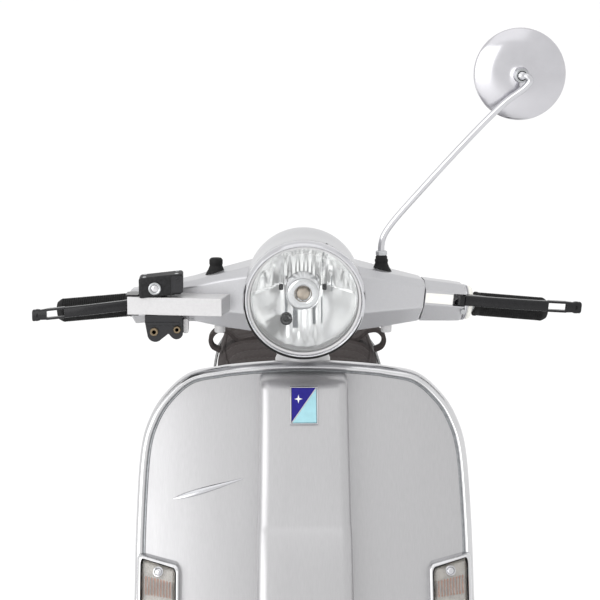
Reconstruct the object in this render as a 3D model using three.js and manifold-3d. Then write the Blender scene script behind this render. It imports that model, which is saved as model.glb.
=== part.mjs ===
// Step-through motor scooter with a pressed-steel body, hand gear change and 10-inch wheels.
// Millimetres, +Z up. The scooter faces -Y and the rider's left hand is at +X. It stands on the
// floor z = 0 on both tyres and its lowered centre stand, with the origin in the middle below it.
import * as THREE from "three";
import { mergeVertices } from "three/addons/utils/BufferGeometryUtils.js";
import Module from "manifold-3d";

const wasm = await Module();
wasm.setup();

// ---------------------------------------------------------------- driving dimensions
const GAP = 0.4; // running and seating clearance between touching pieces
const RAKE = 27; // steering axis and leg shield lean back by this angle, degrees
const LEAN = Math.tan(THREE.MathUtils.degToRad(RAKE));
const AXIS_Y = -272; // steering axis passes this y ...
const AXIS_Z = 906; // ... at this height
const COLUMN_R = 15;
const FORK_R = 13;
const FORK_X = -68; // the single-sided fork runs beside the tyre on the rider's right

const WHEEL_R = 216;
const TYRE_HALF = 45;
const RIM_R = 127;
const FRONT_Y = -655;
const REAR_Y = 605;
const ROUND = 24; // segments of wheels and other large round pieces
const DOME_SIDES = 20;

const SHIELD_TOP_Y = -315;
const SHIELD_TOP_Z = 900;
const SHIELD_HALF = 232; // half width over the edge trim
const SHIELD_T = 2.6;
const SHIELD_SETBACK = 22; // the edges curve back towards the rider

const FLOOR_Z = 285;
const LAMP = [0, -420, 1010]; // centre of the headlamp's face
const LAMP_TILT = 9; // the lamp looks down by this angle, degrees

const BAR = { y: -322.8, z: 1007.5, back: 0.12, droop: 0.105 }; // handlebar axis at x = 0
const BAR_R = 11;
const BAR_END = 336;
const GRIP_R = 14.5;

const LINK_PIVOT = [-735, 236]; // y, z of the front suspension link's pivot
const FRONT_SHOCK_TOP = [-545, 405];
const FRONT_SHOCK_FOOT = [-648, 226];
const SWING_PIVOT = [345, 270]; // y, z of the engine's pivot
const REAR_SHOCK_TOP = [655, 520];
const REAR_SHOCK_FOOT = [640, 302];

// ---------------------------------------------------------------- small helpers
const V = (x, y, z) => new THREE.Vector3(x, y, z);
const rad = THREE.MathUtils.degToRad;
const lerp = THREE.MathUtils.lerp;
const axisY = (z) => AXIS_Y - (AXIS_Z - z) * LEAN;
const axisPoint = (z) => V(0, axisY(z), z);
const barPoint = (x) => V(x, BAR.y + BAR.back * Math.abs(x), BAR.z - BAR.droop * Math.abs(x));

// Turns closed geometry into a solid, dropping the empty triangles at lathe poles.
function solid(geometry) {
  const bare = geometry.clone();
  for (const name of Object.keys(bare.attributes)) {
    if (name !== "position") bare.deleteAttribute(name);
  }
  const merged = mergeVertices(bare, 1e-3);
  const p = merged.attributes.position;
  const index = merged.index.array;
  const kept = [];
  let volume = 0;
  const [a, b, c] = [V(0, 0, 0), V(0, 0, 0), V(0, 0, 0)];
  for (let i = 0; i < index.length; i += 3) {
    const [i0, i1, i2] = [index[i], index[i + 1], index[i + 2]];
    if (i0 === i1 || i1 === i2 || i2 === i0) continue;
    kept.push(i0, i1, i2);
    a.fromBufferAttribute(p, i0);
    b.fromBufferAttribute(p, i1);
    c.fromBufferAttribute(p, i2);
    volume += a.dot(b.cross(c));
  }
  if (volume < 0) kept.reverse();
  return new wasm.Manifold(new wasm.Mesh({
    numProp: 3,
    vertProperties: new Float32Array(p.array),
    triVerts: new Uint32Array(kept),
  }));
}

const join = (first, ...rest) => rest.reduce((sum, next) => sum.add(next), first);
const cut = (first, ...rest) => rest.reduce((left, next) => left.subtract(next), first);

function block([x0, x1], [y0, y1], [z0, z1]) {
  const box = new THREE.BoxGeometry(x1 - x0, y1 - y0, z1 - z0);
  return solid(box.translate((x0 + x1) / 2, (y0 + y1) / 2, (z0 + z1) / 2));
}

// Cylinder or cone between two points.
function rod(from, to, r, rEnd = r, sides = 14) {
  const along = to.clone().sub(from);
  const bar = new THREE.CylinderGeometry(rEnd, r, along.length(), sides);
  const turn = new THREE.Quaternion().setFromUnitVectors(V(0, 1, 0), along.clone().normalize());
  bar.applyQuaternion(turn);
  const middle = from.clone().add(to).multiplyScalar(0.5);
  return solid(bar.translate(middle.x, middle.y, middle.z));
}

// Revolves a closed profile of [radius, distance along the axis] about an axis.
function turned(profile, from, direction, segments = 18, start = 0) {
  const points = profile.map(([r, h]) => new THREE.Vector2(r, h));
  points.push(points[0].clone());
  const body = new THREE.LatheGeometry(points, segments, start);
  const turn = new THREE.Quaternion().setFromUnitVectors(V(0, 1, 0), direction.clone().normalize());
  body.applyQuaternion(turn);
  return solid(body.translate(from.x, from.y, from.z));
}

// Round tube along a smooth curve through the points.
function tube(points, r, steps, sides = 8) {
  const ring = [];
  for (let i = 0; i < sides; i += 1) {
    const turn = (i / sides) * Math.PI * 2;
    ring.push(new THREE.Vector2(Math.cos(turn) * r, Math.sin(turn) * r));
  }
  const path = new THREE.CatmullRomCurve3(points.map((p) => V(...p)), false, "centripetal");
  return solid(new THREE.ExtrudeGeometry(new THREE.Shape(ring), { steps, extrudePath: path,
    bevelEnabled: false }));
}

// Skin over a row of closed outlines with the same number of points, closed at both ends.
function loft(sections) {
  const count = sections[0].length;
  const corners = sections.flat();
  const faces = [];
  for (let s = 0; s < sections.length - 1; s += 1) {
    for (let i = 0; i < count; i += 1) {
      const next = (i + 1) % count;
      const [a, b] = [s * count + i, s * count + next];
      faces.push(a, b, b + count, a, b + count, a + count);
    }
  }
  for (const end of [0, sections.length - 1]) {
    for (const [a, b, c] of capFaces(sections[end])) {
      const start = end * count;
      if (end === 0) faces.push(start + a, start + c, start + b);
      else faces.push(start + a, start + b, start + c);
    }
  }
  return fromFaces(corners, faces);
}

// Triangles that fill an outline, wound the way the outline runs.
function capFaces(outline) {
  const normal = V(0, 0, 0);
  outline.forEach((p, i) => {
    const q = outline[(i + 1) % outline.length];
    normal.add(V((p.y - q.y) * (p.z + q.z), (p.z - q.z) * (p.x + q.x), (p.x - q.x) * (p.y + q.y)));
  });
  const flatten = new THREE.Quaternion().setFromUnitVectors(normal.normalize(), V(0, 0, 1));
  const flat = outline.map((p) => p.clone().applyQuaternion(flatten));
  return THREE.ShapeUtils.triangulateShape(flat.map((p) => new THREE.Vector2(p.x, p.y)), []);
}

function fromFaces(corners, faces) {
  const geometry = new THREE.BufferGeometry();
  geometry.setAttribute("position", new THREE.Float32BufferAttribute(corners.flatMap((p) => [p.x, p.y,
    p.z]), 3));
  geometry.setIndex(faces);
  return solid(geometry);
}

// Plate between two grids of points of the same size.
function skin(front, back) {
  const rows = front.length;
  const cols = front[0].length;
  const corners = [...front.flat(), ...back.flat()];
  const faces = [];
  const quad = (a, b, c, d) => faces.push(a, b, c, a, c, d);
  const at = (side, i, j) => side * rows * cols + i * cols + j;
  for (let i = 0; i < rows - 1; i += 1) {
    for (let j = 0; j < cols - 1; j += 1) {
      quad(at(0, i, j), at(0, i + 1, j), at(0, i + 1, j + 1), at(0, i, j + 1));
      quad(at(1, i, j), at(1, i, j + 1), at(1, i + 1, j + 1), at(1, i + 1, j));
    }
  }
  for (let i = 0; i < rows - 1; i += 1) {
    quad(at(0, i, 0), at(1, i, 0), at(1, i + 1, 0), at(0, i + 1, 0));
    quad(at(0, i, cols - 1), at(0, i + 1, cols - 1), at(1, i + 1, cols - 1), at(1, i, cols - 1));
  }
  for (let j = 0; j < cols - 1; j += 1) {
    quad(at(0, 0, j), at(0, 0, j + 1), at(1, 0, j + 1), at(1, 0, j));
    quad(at(0, rows - 1, j), at(1, rows - 1, j), at(1, rows - 1, j + 1), at(0, rows - 1, j + 1));
  }
  return fromFaces(corners, faces);
}

// Flat outline given in the two directions across an axis, swept along that axis.
function prism(axis, outline, from, to) {
  const place = {
    x: (at) => ([y, z]) => V(at, y, z),
    y: (at) => ([x, z]) => V(x, at, z),
    z: (at) => ([x, y]) => V(x, y, at),
  }[axis];
  return loft([outline.map(place(from)), outline.map(place(to))]);
}

// Ellipse section across Y.
function ellipseY(y, rx, rz, z, sides = DOME_SIDES) {
  return Array.from({ length: sides }, (_, i) => {
    const turn = (i / sides) * Math.PI * 2;
    return V(rx * Math.cos(turn), y, z + rz * Math.sin(turn));
  });
}

// Rectangle with rounded corners, as a list of [u, v].
function roundRect(u0, u1, v0, v1, r, steps = 3) {
  const corners = [[u1 - r, v1 - r, 0], [u0 + r, v1 - r, 90], [u0 + r, v0 + r, 180], [u1 - r, v0 + r, 270]];
  return corners.flatMap(([u, v, start]) => Array.from({ length: steps + 1 }, (_, i) => {
    const turn = rad(start + (90 * i) / steps);
    return [u + r * Math.cos(turn), v + r * Math.sin(turn)];
  }));
}

const mirrorX = (body) => {
  const { vertProperties, triVerts } = body.getMesh();
  const geometry = new THREE.BufferGeometry();
  geometry.setAttribute("position", new THREE.BufferAttribute(new Float32Array(vertProperties), 3));
  geometry.setIndex([...triVerts]);
  return solid(geometry.scale(-1, 1, 1));
};

// ---------------------------------------------------------------- materials
const finish = (color, roughness, metalness) => () => new THREE.MeshStandardMaterial({ color, roughness,
  metalness });
const paint = finish(0xc4c6c8, 0.42, 0.7);
const chrome = finish(0xd8dadc, 0.12, 1.0);
const steel = finish(0x9a9ca0, 0.4, 1.0);
const castAlloy = finish(0xa8aaac, 0.55, 0.9);
const blackPart = finish(0x1c1c1e, 0.5, 0.1);
const rubber = finish(0x18181a, 0.85, 0.0);
const vinyl = finish(0x4e4846, 0.65, 0.0);
const clear = finish(0xe8ecee, 0.08, 0.0);
const redLens = finish(0xa01818, 0.2, 0.0);
const enamel = finish(0x27348a, 0.25, 0.1);

// ---------------------------------------------------------------- assembly
const scooter = new THREE.Group();

function piece(name, body, material, parent = scooter) {
  const { vertProperties, triVerts } = body.getMesh();
  const geometry = new THREE.BufferGeometry();
  geometry.setAttribute("position", new THREE.BufferAttribute(new Float32Array(vertProperties), 3));
  geometry.setIndex([...triVerts]);
  geometry.computeVertexNormals();
  const mesh = new THREE.Mesh(geometry, material());
  mesh.name = name;
  parent.add(mesh);
  return mesh;
}

// ---------------------------------------------------------------- leg shield and its trim
// The shield is straight down to its knee, then curls back under to the floor.
const shieldKnee = new THREE.CatmullRomCurve3([
  V(0, SHIELD_TOP_Y - (SHIELD_TOP_Z - 560) * LEAN, 560), V(0, SHIELD_TOP_Y - (SHIELD_TOP_Z - 520) * LEAN,
    520),
  V(0, -514, 490), V(0, -501, 462), V(0, -470, 430), V(0, -442, 400), V(0, -408, 350), V(0, -375, 300),
  V(0, -349, FLOOR_Z - 1),
]);
const kneePoints = shieldKnee.getPoints(60);

function shieldY(z) {
  if (z >= 520) return SHIELD_TOP_Y - (SHIELD_TOP_Z - z) * LEAN;
  const below = kneePoints.findIndex((p) => p.z <= z);
  if (below < 1) return kneePoints.at(-1).y;
  const [high, low] = [kneePoints[below - 1], kneePoints[below]];
  return lerp(low.y, high.y, (z - low.z) / (high.z - low.z));
}

const shieldAt = (x, z, out = 0) => V(x,
  shieldY(z) + SHIELD_SETBACK * Math.abs(x / SHIELD_HALF) ** 3 - out, z);

// Outer edge of the trim on the +X side, from the top corner down, as [x, z].
const SIDE_TOP = 110;
const sideCurve = new THREE.SplineCurve([
  [SIDE_TOP, 898.5], [158, 888.5], [191, 863], [213, 831], [226, 787], [SHIELD_HALF - 1, 700],
    [SHIELD_HALF, 613],
  [SHIELD_HALF, 560], [226, 480], [215, 400], [205, 330], [202, FLOOR_Z],
].map(([x, z]) => new THREE.Vector2(x, z)));
const CROWN = 6.5; // the top edge arches by this much
const TRIM_W = 12;

function edgeAt(t, inset) {
  const p = sideCurve.getPoint(t);
  const along = sideCurve.getTangent(t);
  return [p.x + along.y * inset, p.y - along.x * inset];
}

function legShield() {
  const rows = 16;
  const cols = 8;
  const grid = (out) => Array.from({ length: rows + 1 }, (_, i) => {
    const t = i / rows;
    const [x, z] = edgeAt(t, TRIM_W + 2 * GAP);
    const crown = CROWN * Math.max(0, 1 - t * 4);
    return Array.from({ length: cols + 1 }, (_, j) => {
      const u = (2 * j) / cols - 1;
      return shieldAt(x * u, z + crown * (1 - u * u), -out);
    });
  });
  const forkHole = rod(axisPoint(380), axisPoint(540), 25);
  return cut(skin(grid(0), grid(SHIELD_T)), forkHole);
}

function shieldTrim() {
  const path = [];
  const sideSteps = 16;
  const topSteps = 4;
  for (let i = sideSteps; i >= 0; i -= 1) path.push([-1, i / sideSteps]);
  for (let i = 1; i < topSteps; i += 1) path.push([0, (2 * i) / topSteps - 1]);
  for (let i = 0; i <= sideSteps; i += 1) path.push([1, i / sideSteps]);
  const profile = [[0, -2], [3, -6], [9, -6.5], [TRIM_W, -3], [TRIM_W, 6], [0, 6]];
  return loft(path.map(([side, t]) => profile.map(([inset, back]) => {
    let x;
    let z;
    if (side === 0) {
      x = t * SIDE_TOP;
      z = sideCurve.getPoint(0).y + CROWN * (1 - t * t) - inset;
    } else {
      const crownless = edgeAt(t, inset);
      x = side * crownless[0];
      z = crownless[1];
    }
    return shieldAt(x, z).add(V(0, back, 0));
  })));
}

const INDICATOR = { out: 228, in: 170, top: 661, slant: 11, bottom: 545, depth: 15 };

function indicatorOutline(grow, side) {
  const { out, top, slant, bottom } = INDICATOR;
  return [[INDICATOR.in - grow, bottom + 6 - grow], [out + grow, bottom - grow], [out + grow, top + grow],
    [INDICATOR.in - grow, top - slant + grow]].map(([x, z]) => [x * side, z]);
}

function frontIndicator(side, grow = 0) {
  const layer = (inset, out) => indicatorOutline(grow - inset, side).map(([x, z]) => shieldAt(x, z, out));
  const inner = grow ? -12 : 1.6;
  return loft([layer(0, inner), layer(0, INDICATOR.depth - 4 + grow), layer(4, INDICATOR.depth + grow)]);
}

piece("leg_shield", legShield(), paint);
piece("leg_shield_trim", cut(shieldTrim(), frontIndicator(1, 0.6), frontIndicator(-1, 0.6)), chrome);
piece("front_indicator_left", frontIndicator(1), clear);
piece("front_indicator_right", frontIndicator(-1), clear);

// ---------------------------------------------------------------- horn cover and badge
// Raised cover in front of the shield, open behind; [height, half width, depth].
const HORN_ROWS = [[889.5, 57, 50], [885, 61, 57], [860, 61, 58], [708, 63, 58], [700, 64, 61], [640, 65,
  60], [560, 66, 55],
  [552, 64, 46]];

function hornSection([z, w, d], inset, back) {
  const r = 14;
  const half = w - inset;
  const depth = d - inset;
  const side = [[half, -back], [half, depth - r], [half - r * 0.3, depth - r * 0.3], [half - r, depth]];
  const other = side.map(([x, out]) => [-x, out]).reverse();
  return [...side, ...other].map(([x, out]) => V(x, shieldY(z) - out, z));
}

function hornCover() {
  const outer = loft(HORN_ROWS.map((row) => hornSection(row, 0, -GAP - 0.3)));
  const last = HORN_ROWS.length - 1;
  const hollow = HORN_ROWS.map(([z, w, d], i) => [z + (i === 0 ? -3 : 0) + (i === last ? 3 : 0), w, d]);
  return cut(outer, loft(hollow.map((row) => hornSection(row, 2.2, 8))));
}

function frontBadge() {
  const corner = (x, z, out) => V(x, shieldY(z) - out, z);
  const [half, low, high] = [19, 836, 884];
  const face = 58.5;
  const ring = (inset, out) => [[-half + inset, low + inset], [half - inset, low + inset], [half - inset,
    high - inset],
    [-half + inset, high - inset]].map(([x, z]) => corner(x, z, out));
  return loft([ring(0, face), ring(0, face + 2.4), ring(1.2, face + 3.2)]);
}

piece("horn_cover", hornCover(), paint);
piece("front_badge", frontBadge(), enamel);

// ---------------------------------------------------------------- head tube, floor and pedal
function headTube() {
  const bottom = axisPoint(512);
  const up = axisPoint(890).sub(bottom);
  const length = up.length();
  const bore = COLUMN_R + GAP;
  return turned([[bore, 0], [26, 0], [26, 16], [22, 20], [22, length - 20], [26, length - 16], [26, length],
    [bore, length]], bottom, up);
}

const TUNNEL_HALF = 58;
const TUNNEL_H = 52;
const FLOOR_HALF = 212;
const FLOOR_T = 3;
const FLOOR_FRONT = -346;
const FLOOR_REAR = 126;
const PEDAL_X = [-107, -83];

function floorboard() {
  const upper = [[-FLOOR_HALF, FLOOR_Z - 28], [-FLOOR_HALF, FLOOR_Z - 6], [-FLOOR_HALF + 6, FLOOR_Z],
    [-TUNNEL_HALF - 14, FLOOR_Z], [-TUNNEL_HALF, FLOOR_Z + 12], [-TUNNEL_HALF + 8, FLOOR_Z + TUNNEL_H - 8],
    [-TUNNEL_HALF + 18, FLOOR_Z + TUNNEL_H]];
  const full = [...upper, ...upper.map(([x, z]) => [-x, z]).reverse()];
  const under = full.map(([x, z]) => [x - Math.sign(x) * FLOOR_T,
    z - (z > FLOOR_Z - 20 ? FLOOR_T : 0)]).reverse();
  const board = prism("y", [...full, ...under], FLOOR_FRONT, FLOOR_REAR);
  const pedalSlot = block([PEDAL_X[0] - 3, PEDAL_X[1] + 3], [-190, -60], [FLOOR_Z - 20, FLOOR_Z + 10]);
  return cut(board, pedalSlot);
}

const PEDAL_PIVOT = [-70, 266];

function brakePedal() {
  const [y, z] = PEDAL_PIVOT;
  const hub = rod(V(PEDAL_X[0], y, z), V(PEDAL_X[1], y, z), 9);
  const arm = prism("x", [[y - 4, z - 8], [y + 6, z + 6], [y - 50, z + 16], [-148, 337], [-166, 331],
    [-120, z + 12],
    [y - 50, z + 4]], PEDAL_X[0] + 6, PEDAL_X[1] - 6);
  const pad = prism("x", [[-192, 312], [-140, 338], [-144, 346], [-196, 320]], PEDAL_X[0] - 14,
    PEDAL_X[1] + 14);
  return join(hub, arm, pad);
}

piece("head_tube", headTube(), steel);
piece("floorboard", floorboard(), paint);
piece("brake_pedal", brakePedal(), rubber);

// ---------------------------------------------------------------- glovebox behind the shield
// Its group leans with the shield: local y is the distance behind the shield's face.
const GLOVE = { half: 160, near: 12, far: 122, low: -140, high: 140, wall: 2.5, tubeHalf: 30, tubeFar: 66 };
const glovebox = new THREE.Group();
const GLOVE_Z = 705;
glovebox.position.set(0, shieldY(GLOVE_Z), GLOVE_Z);
glovebox.rotation.x = -rad(RAKE);
scooter.add(glovebox);

function gloveboxShell() {
  const g = GLOVE;
  const outer = block([-g.half, g.half], [g.near, g.far], [g.low, g.high]);
  const inner = block([-g.half + g.wall, g.half - g.wall], [g.near + g.wall, g.far + 5],
    [g.low + g.wall, g.high - g.wall]);
  const tubeWall = block([-g.tubeHalf - g.wall, g.tubeHalf + g.wall], [g.near, g.tubeFar + g.wall],
    [g.low, g.high]);
  const tubeWay = block([-g.tubeHalf, g.tubeHalf], [g.near - 5, g.tubeFar], [g.low - 5, g.high + 5]);
  return cut(join(cut(outer, inner), tubeWall), tubeWay);
}

function gloveboxDoor() {
  const g = GLOVE;
  const y = g.far + GAP;
  const panel = prism("y", roundRect(-g.half, g.half, g.low + 14, g.high, 14), y, y + 4);
  const handle = block([-26, 26], [y + 3, y + 12], [g.high - 34, g.high - 22]);
  const knuckle = rod(V(-60, y + 5, g.low + 8), V(60, y + 5, g.low + 8), 5, 5, 12);
  const strap = block([-58, 58], [y, y + 4], [g.low + 8, g.low + 20]);
  return join(panel, handle, knuckle, strap);
}

piece("glovebox", gloveboxShell(), blackPart, glovebox);
piece("glovebox_door", gloveboxDoor(), blackPart, glovebox);

// ---------------------------------------------------------------- rear body
// Stations of the rear frame along y: [y, half width, top height].
const FRAME_ROWS = [[128, 98, 690], [150, 108, 712], [200, 116, 722], [480, 122, 722], [600, 120, 706],
  [720, 108, 664],
  [800, 92, 626], [850, 78, 600]];

function frameSection([y, w, top], inset, base) {
  const r = 34;
  const [half, roof] = [w - inset, top - inset];
  const side = [[half, base], [half, roof - r], [half - r * 0.3, roof - r * 0.3], [half - r, roof]];
  return [...side, ...side.map(([x, z]) => [-x, z]).reverse()].map(([x, z]) => V(x, y, z));
}

function frameHalfWidth(y) {
  const next = Math.max(1, FRAME_ROWS.findIndex((row) => row[0] >= y));
  const [a, b] = [FRAME_ROWS[next - 1], FRAME_ROWS[next]];
  return lerp(a[1], b[1], (y - a[0]) / (b[0] - a[0]));
}

const SEAT_HINGE = [113, 729]; // y, z
const TANK = { half: 76, front: 196, rear: 440, low: 520, top: 722 };

function rearFrame() {
  const outer = loft(FRAME_ROWS.map((row) => frameSection(row, 0, FLOOR_Z + 4)));
  const rows = FRAME_ROWS.map(([y, w, top]) => [lerp(131, 847, (y - 128) / 722), w, top]);
  const shell = cut(outer, loft(rows.map((row) => frameSection(row, 3, FLOOR_Z - 20))));
  const engineBay = block([-200, 200], [395, 725], [200, 430]);
  const tail = block([-200, 200], [724, 900], [200, 400]);
  const tankHole = block([-TANK.half - 4, TANK.half + 4], [TANK.front - 6, TANK.rear + 10], [690, 760]);
  const [y, z] = SWING_PIVOT;
  const ears = [-1, 1].map((side) => prism("x", [[y - 32, z - 30], [y + 32, z - 30], [y + 32, 340],
    [y - 32, 340]],
    side * 113, side * 119));
  const pivotHole = rod(V(-140, y, z), V(140, y, z), 25);
  const [hy, hz] = SEAT_HINGE;
  const knuckles = [[-38, -18.5], [18.5, 38]].map(([x0, x1]) => join(
    rod(V(x0, hy, hz), V(x1, hy, hz), 6, 6, 12),
    prism("x", [[hy - 5, hz], [hy + 5, hz + 3], [134, 690], [128.5, 676]], x0, x1)));
  const [sy, sz] = REAR_SHOCK_TOP;
  const shockPin = rod(V(-114, sy, sz), V(-106.6, sy, sz), 7, 7, 12);
  return cut(join(cut(shell, engineBay, tail, tankHole), ...ears, ...knuckles, shockPin), pivotHole);
}

function sideCowl(side) {
  const [rows, cols] = [12, 6];
  const [front, rear] = [140, 800];
  const edge = new THREE.SplineCurve([[140, 560], [300, 622], [520, 636], [680, 610], [800, 556]]
    .map(([y, z]) => new THREE.Vector2(y, z)));
  const hem = new THREE.SplineCurve([[140, 330], [260, 276], [520, 266], [690, 292], [800, 380]]
    .map(([y, z]) => new THREE.Vector2(y, z)));
  const grid = (inset) => Array.from({ length: rows + 1 }, (_, i) => {
    const u = i / rows;
    const y = lerp(front, rear, u);
    const wall = frameHalfWidth(y) + 3.5;
    const bulge = 144 * Math.sin(Math.PI * (0.04 + 0.92 * u)) ** 0.75;
    const [top, bottom] = [edge.getPoint(u).y, hem.getPoint(u).y];
    return Array.from({ length: cols + 1 }, (_, j) => {
      const v = j / cols;
      const out = bulge * Math.sin(Math.PI * 0.74 * v ** 0.8);
      return V(side * (wall + out - inset * (0.25 + 0.75 * Math.min(1, v * 4))), y,
        lerp(top, bottom, v) - inset * (1 - v) * 0.9);
    });
  });
  return skin(grid(0), grid(2.6));
}

function fuelTank() {
  const t = TANK;
  const tank = prism("z", roundRect(-t.half, t.half, t.front, t.rear, 18), t.low, t.top + 3);
  const flange = prism("z", roundRect(-84, 84, t.front - 14, t.rear + 18, 12), t.top + GAP, t.top + 4);
  const neck = rod(V(0, 240, t.top), V(0, 240, 738), 26);
  return join(tank, flange, neck);
}

function fuelCap() {
  const profile = [[0, 0], [32, 0], [34, 3], [34, 9], [31, 12], [0, 12]];
  const grip = block([-24, 24], [236, 244], [748, 752]);
  return join(turned(profile, V(0, 240, 738 + GAP), V(0, 0, 1), 16), grip);
}

piece("rear_frame", rearFrame(), paint);
piece("side_cowl_left", sideCowl(1), paint);
piece("side_cowl_right", sideCowl(-1), paint);
piece("fuel_tank", fuelTank(), steel);
piece("fuel_cap", fuelCap(), chrome);

function tailLight() {
  const ring = (y, grow) => roundRect(-46 - grow, 46 + grow, 548 - grow, 596 + grow, 10).map(([x,
    z]) => V(x, y, z));
  return loft([ring(850 + GAP, 4), ring(868, 4), ring(882, -4)]);
}

function plateBracket() {
  const plate = prism("y", roundRect(-86, 86, 402, 530, 8), 855, 858);
  const stays = [-1, 1].map((side) => block([side * 40 - 8, side * 40 + 8], [850 + GAP, 856], [430, 520]));
  return join(plate, ...stays);
}

function rearIndicator(side) {
  const ring = (x, grow) => roundRect(772 - grow, 828 + grow, 570 - grow, 614 + grow, 8)
    .map(([y, z]) => V(side * x, y, z));
  return loft([ring(104, -6), ring(116, 0), ring(138, 0), ring(142, -4)]);
}

function rearIndicatorStem(side) {
  return join(rearIndicator(side), rod(V(side * 92, 800, 592), V(side * 110, 800, 592), 7, 7, 12));
}

piece("tail_light", tailLight(), redLens);
piece("plate_bracket", plateBracket(), blackPart);
piece("rear_indicator_left", cut(rearIndicatorStem(1), block([0, 97], [760, 840], [560, 620])), clear);
piece("rear_indicator_right", cut(rearIndicatorStem(-1), block([-97, 0], [760, 840], [560, 620])), clear);

// ---------------------------------------------------------------- seat
const SEAT_ROWS = [[92, 96, 0], [112, 122, 5], [200, 133, 8], [340, 143, 8], [520, 140, 14], [640, 126,
  22], [700, 100, 18]];

function seatPan() {
  const outline = [...SEAT_ROWS.map(([y, w]) => [w - 8, y + (y > 600 ? -8 : 4)]),
    ...SEAT_ROWS.map(([y, w]) => [-w + 8, y + (y > 600 ? -8 : 4)]).reverse()];
  const inner = outline.map(([x, y]) => [x * 0.97, lerp(y, 396, 0.02)]);
  const tray = cut(prism("z", outline, 733, 757), prism("z", inner, 720, 754.5));
  const [hy, hz] = SEAT_HINGE;
  const knuckle = rod(V(-18, hy, hz), V(18, hy, hz), 6, 6, 12);
  const web = prism("x", [[hy - 5, hz], [hy + 5, hz], [hy + 5, 755], [hy - 5, 755]], -18, 18);
  return join(tray, knuckle, web);
}

function seatCushion() {
  const [base, top] = [757 + GAP, 799];
  return loft(SEAT_ROWS.map(([y, w, rise], i) => {
    const high = top + rise - (i === 0 || i === SEAT_ROWS.length - 1 ? 14 : 0);
    const side = [[w - 4, base], [w, base + 12], [w - 6, high - 12], [w - 28, high - 2], [w * 0.4, high]];
    return [...side, ...side.map(([x, z]) => [-x, z]).reverse()].map(([x, z]) => V(x, y, z));
  }));
}

piece("seat_pan", seatPan(), blackPart);
piece("seat_cushion", seatCushion(), vinyl);

// ---------------------------------------------------------------- wheels
const ALONG_X = V(1, 0, 0);

// Tyre section: a horseshoe open towards the rim. The tyre rests on a facet, so its corners reach further.
const TREAD_R = WHEEL_R / Math.cos(Math.PI / ROUND);
const TYRE = [[RIM_R + GAP, -34.5], [137, -34], [150, -41], [176, -TYRE_HALF], [200, -38], [212, -22],
  [TREAD_R, -8]];
const TYRE_INSIDE = [[206, 0], [184, 35], [142, 27], [RIM_R + GAP, 26]];

function tyre(y) {
  const outside = [...TYRE, ...TYRE.map(([r, x]) => [r, -x]).reverse()];
  const inside = [...TYRE_INSIDE].reverse().concat(TYRE_INSIDE.slice(1).map(([r, x]) => [r, -x]));
  return turned([...outside, ...inside], V(0, y, WHEEL_R), ALONG_X, ROUND, Math.PI / ROUND);
}

function rim(y) {
  const profile = [[137, -40], [137, -37.5], [RIM_R, -35], [RIM_R, 35], [137, 37.5], [137, 40], [134, 40],
    [123.5, 37],
    [123.5, 18.5], [46, 18.5], [46, 15.5], [123.5, 15.5], [123.5, -37], [134, -40]];
  return turned(profile, V(0, y, WHEEL_R), ALONG_X, ROUND, Math.PI / ROUND);
}

function hub(y, bore, drum) {
  const profile = [[bore, -50], [26, -50], [26, -44.5], [95, -44.5], [95, -40.5], [drum, -40.5], [drum,
    8], [62, 8],
    [62, 15], [44, 15], [44, 22], [bore, 22]];
  return turned(profile, V(0, y, WHEEL_R), ALONG_X, ROUND);
}

const AXLE_R = 8;
const REAR_AXLE_R = 10;
piece("front_tyre", tyre(FRONT_Y), rubber);
piece("front_rim", rim(FRONT_Y), steel);
piece("front_hub", hub(FRONT_Y, AXLE_R + 0.6, 28), castAlloy);
piece("rear_tyre", tyre(REAR_Y), rubber);
piece("rear_rim", rim(REAR_Y), steel);
piece("rear_hub", hub(REAR_Y, REAR_AXLE_R + 0.6, 60), castAlloy);

// ---------------------------------------------------------------- steering column, fork and link
const FORK_PATH = [[0, axisY(442), 442], [-10, -511, 433], [-34, -514, 420], [-56, -522, 400], [-66, -540,
  372],
  [FORK_X, -600, 322], [FORK_X, -690, 262], [FORK_X, LINK_PIVOT[0], LINK_PIVOT[1]]];

function steeringColumn() {
  const column = rod(axisPoint(958), axisPoint(440), COLUMN_R, COLUMN_R, 24);
  const [y, z] = LINK_PIVOT;
  const eye = rod(V(FORK_X - 14, y, z), V(FORK_X + 14, y, z), 15);
  const [sy, sz] = FRONT_SHOCK_TOP;
  const lug = join(rod(V(FORK_X, sy, sz), V(-91, sy, sz), 8, 8, 12), rod(V(-66, -540, 380), V(-72, sy,
    sz), 9, 9, 12));
  return join(column, tube(FORK_PATH, FORK_R, 16, 10), eye, lug);
}

const PIN_R = 6; // damper pins run loose in the damper's open lower eyes

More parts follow.
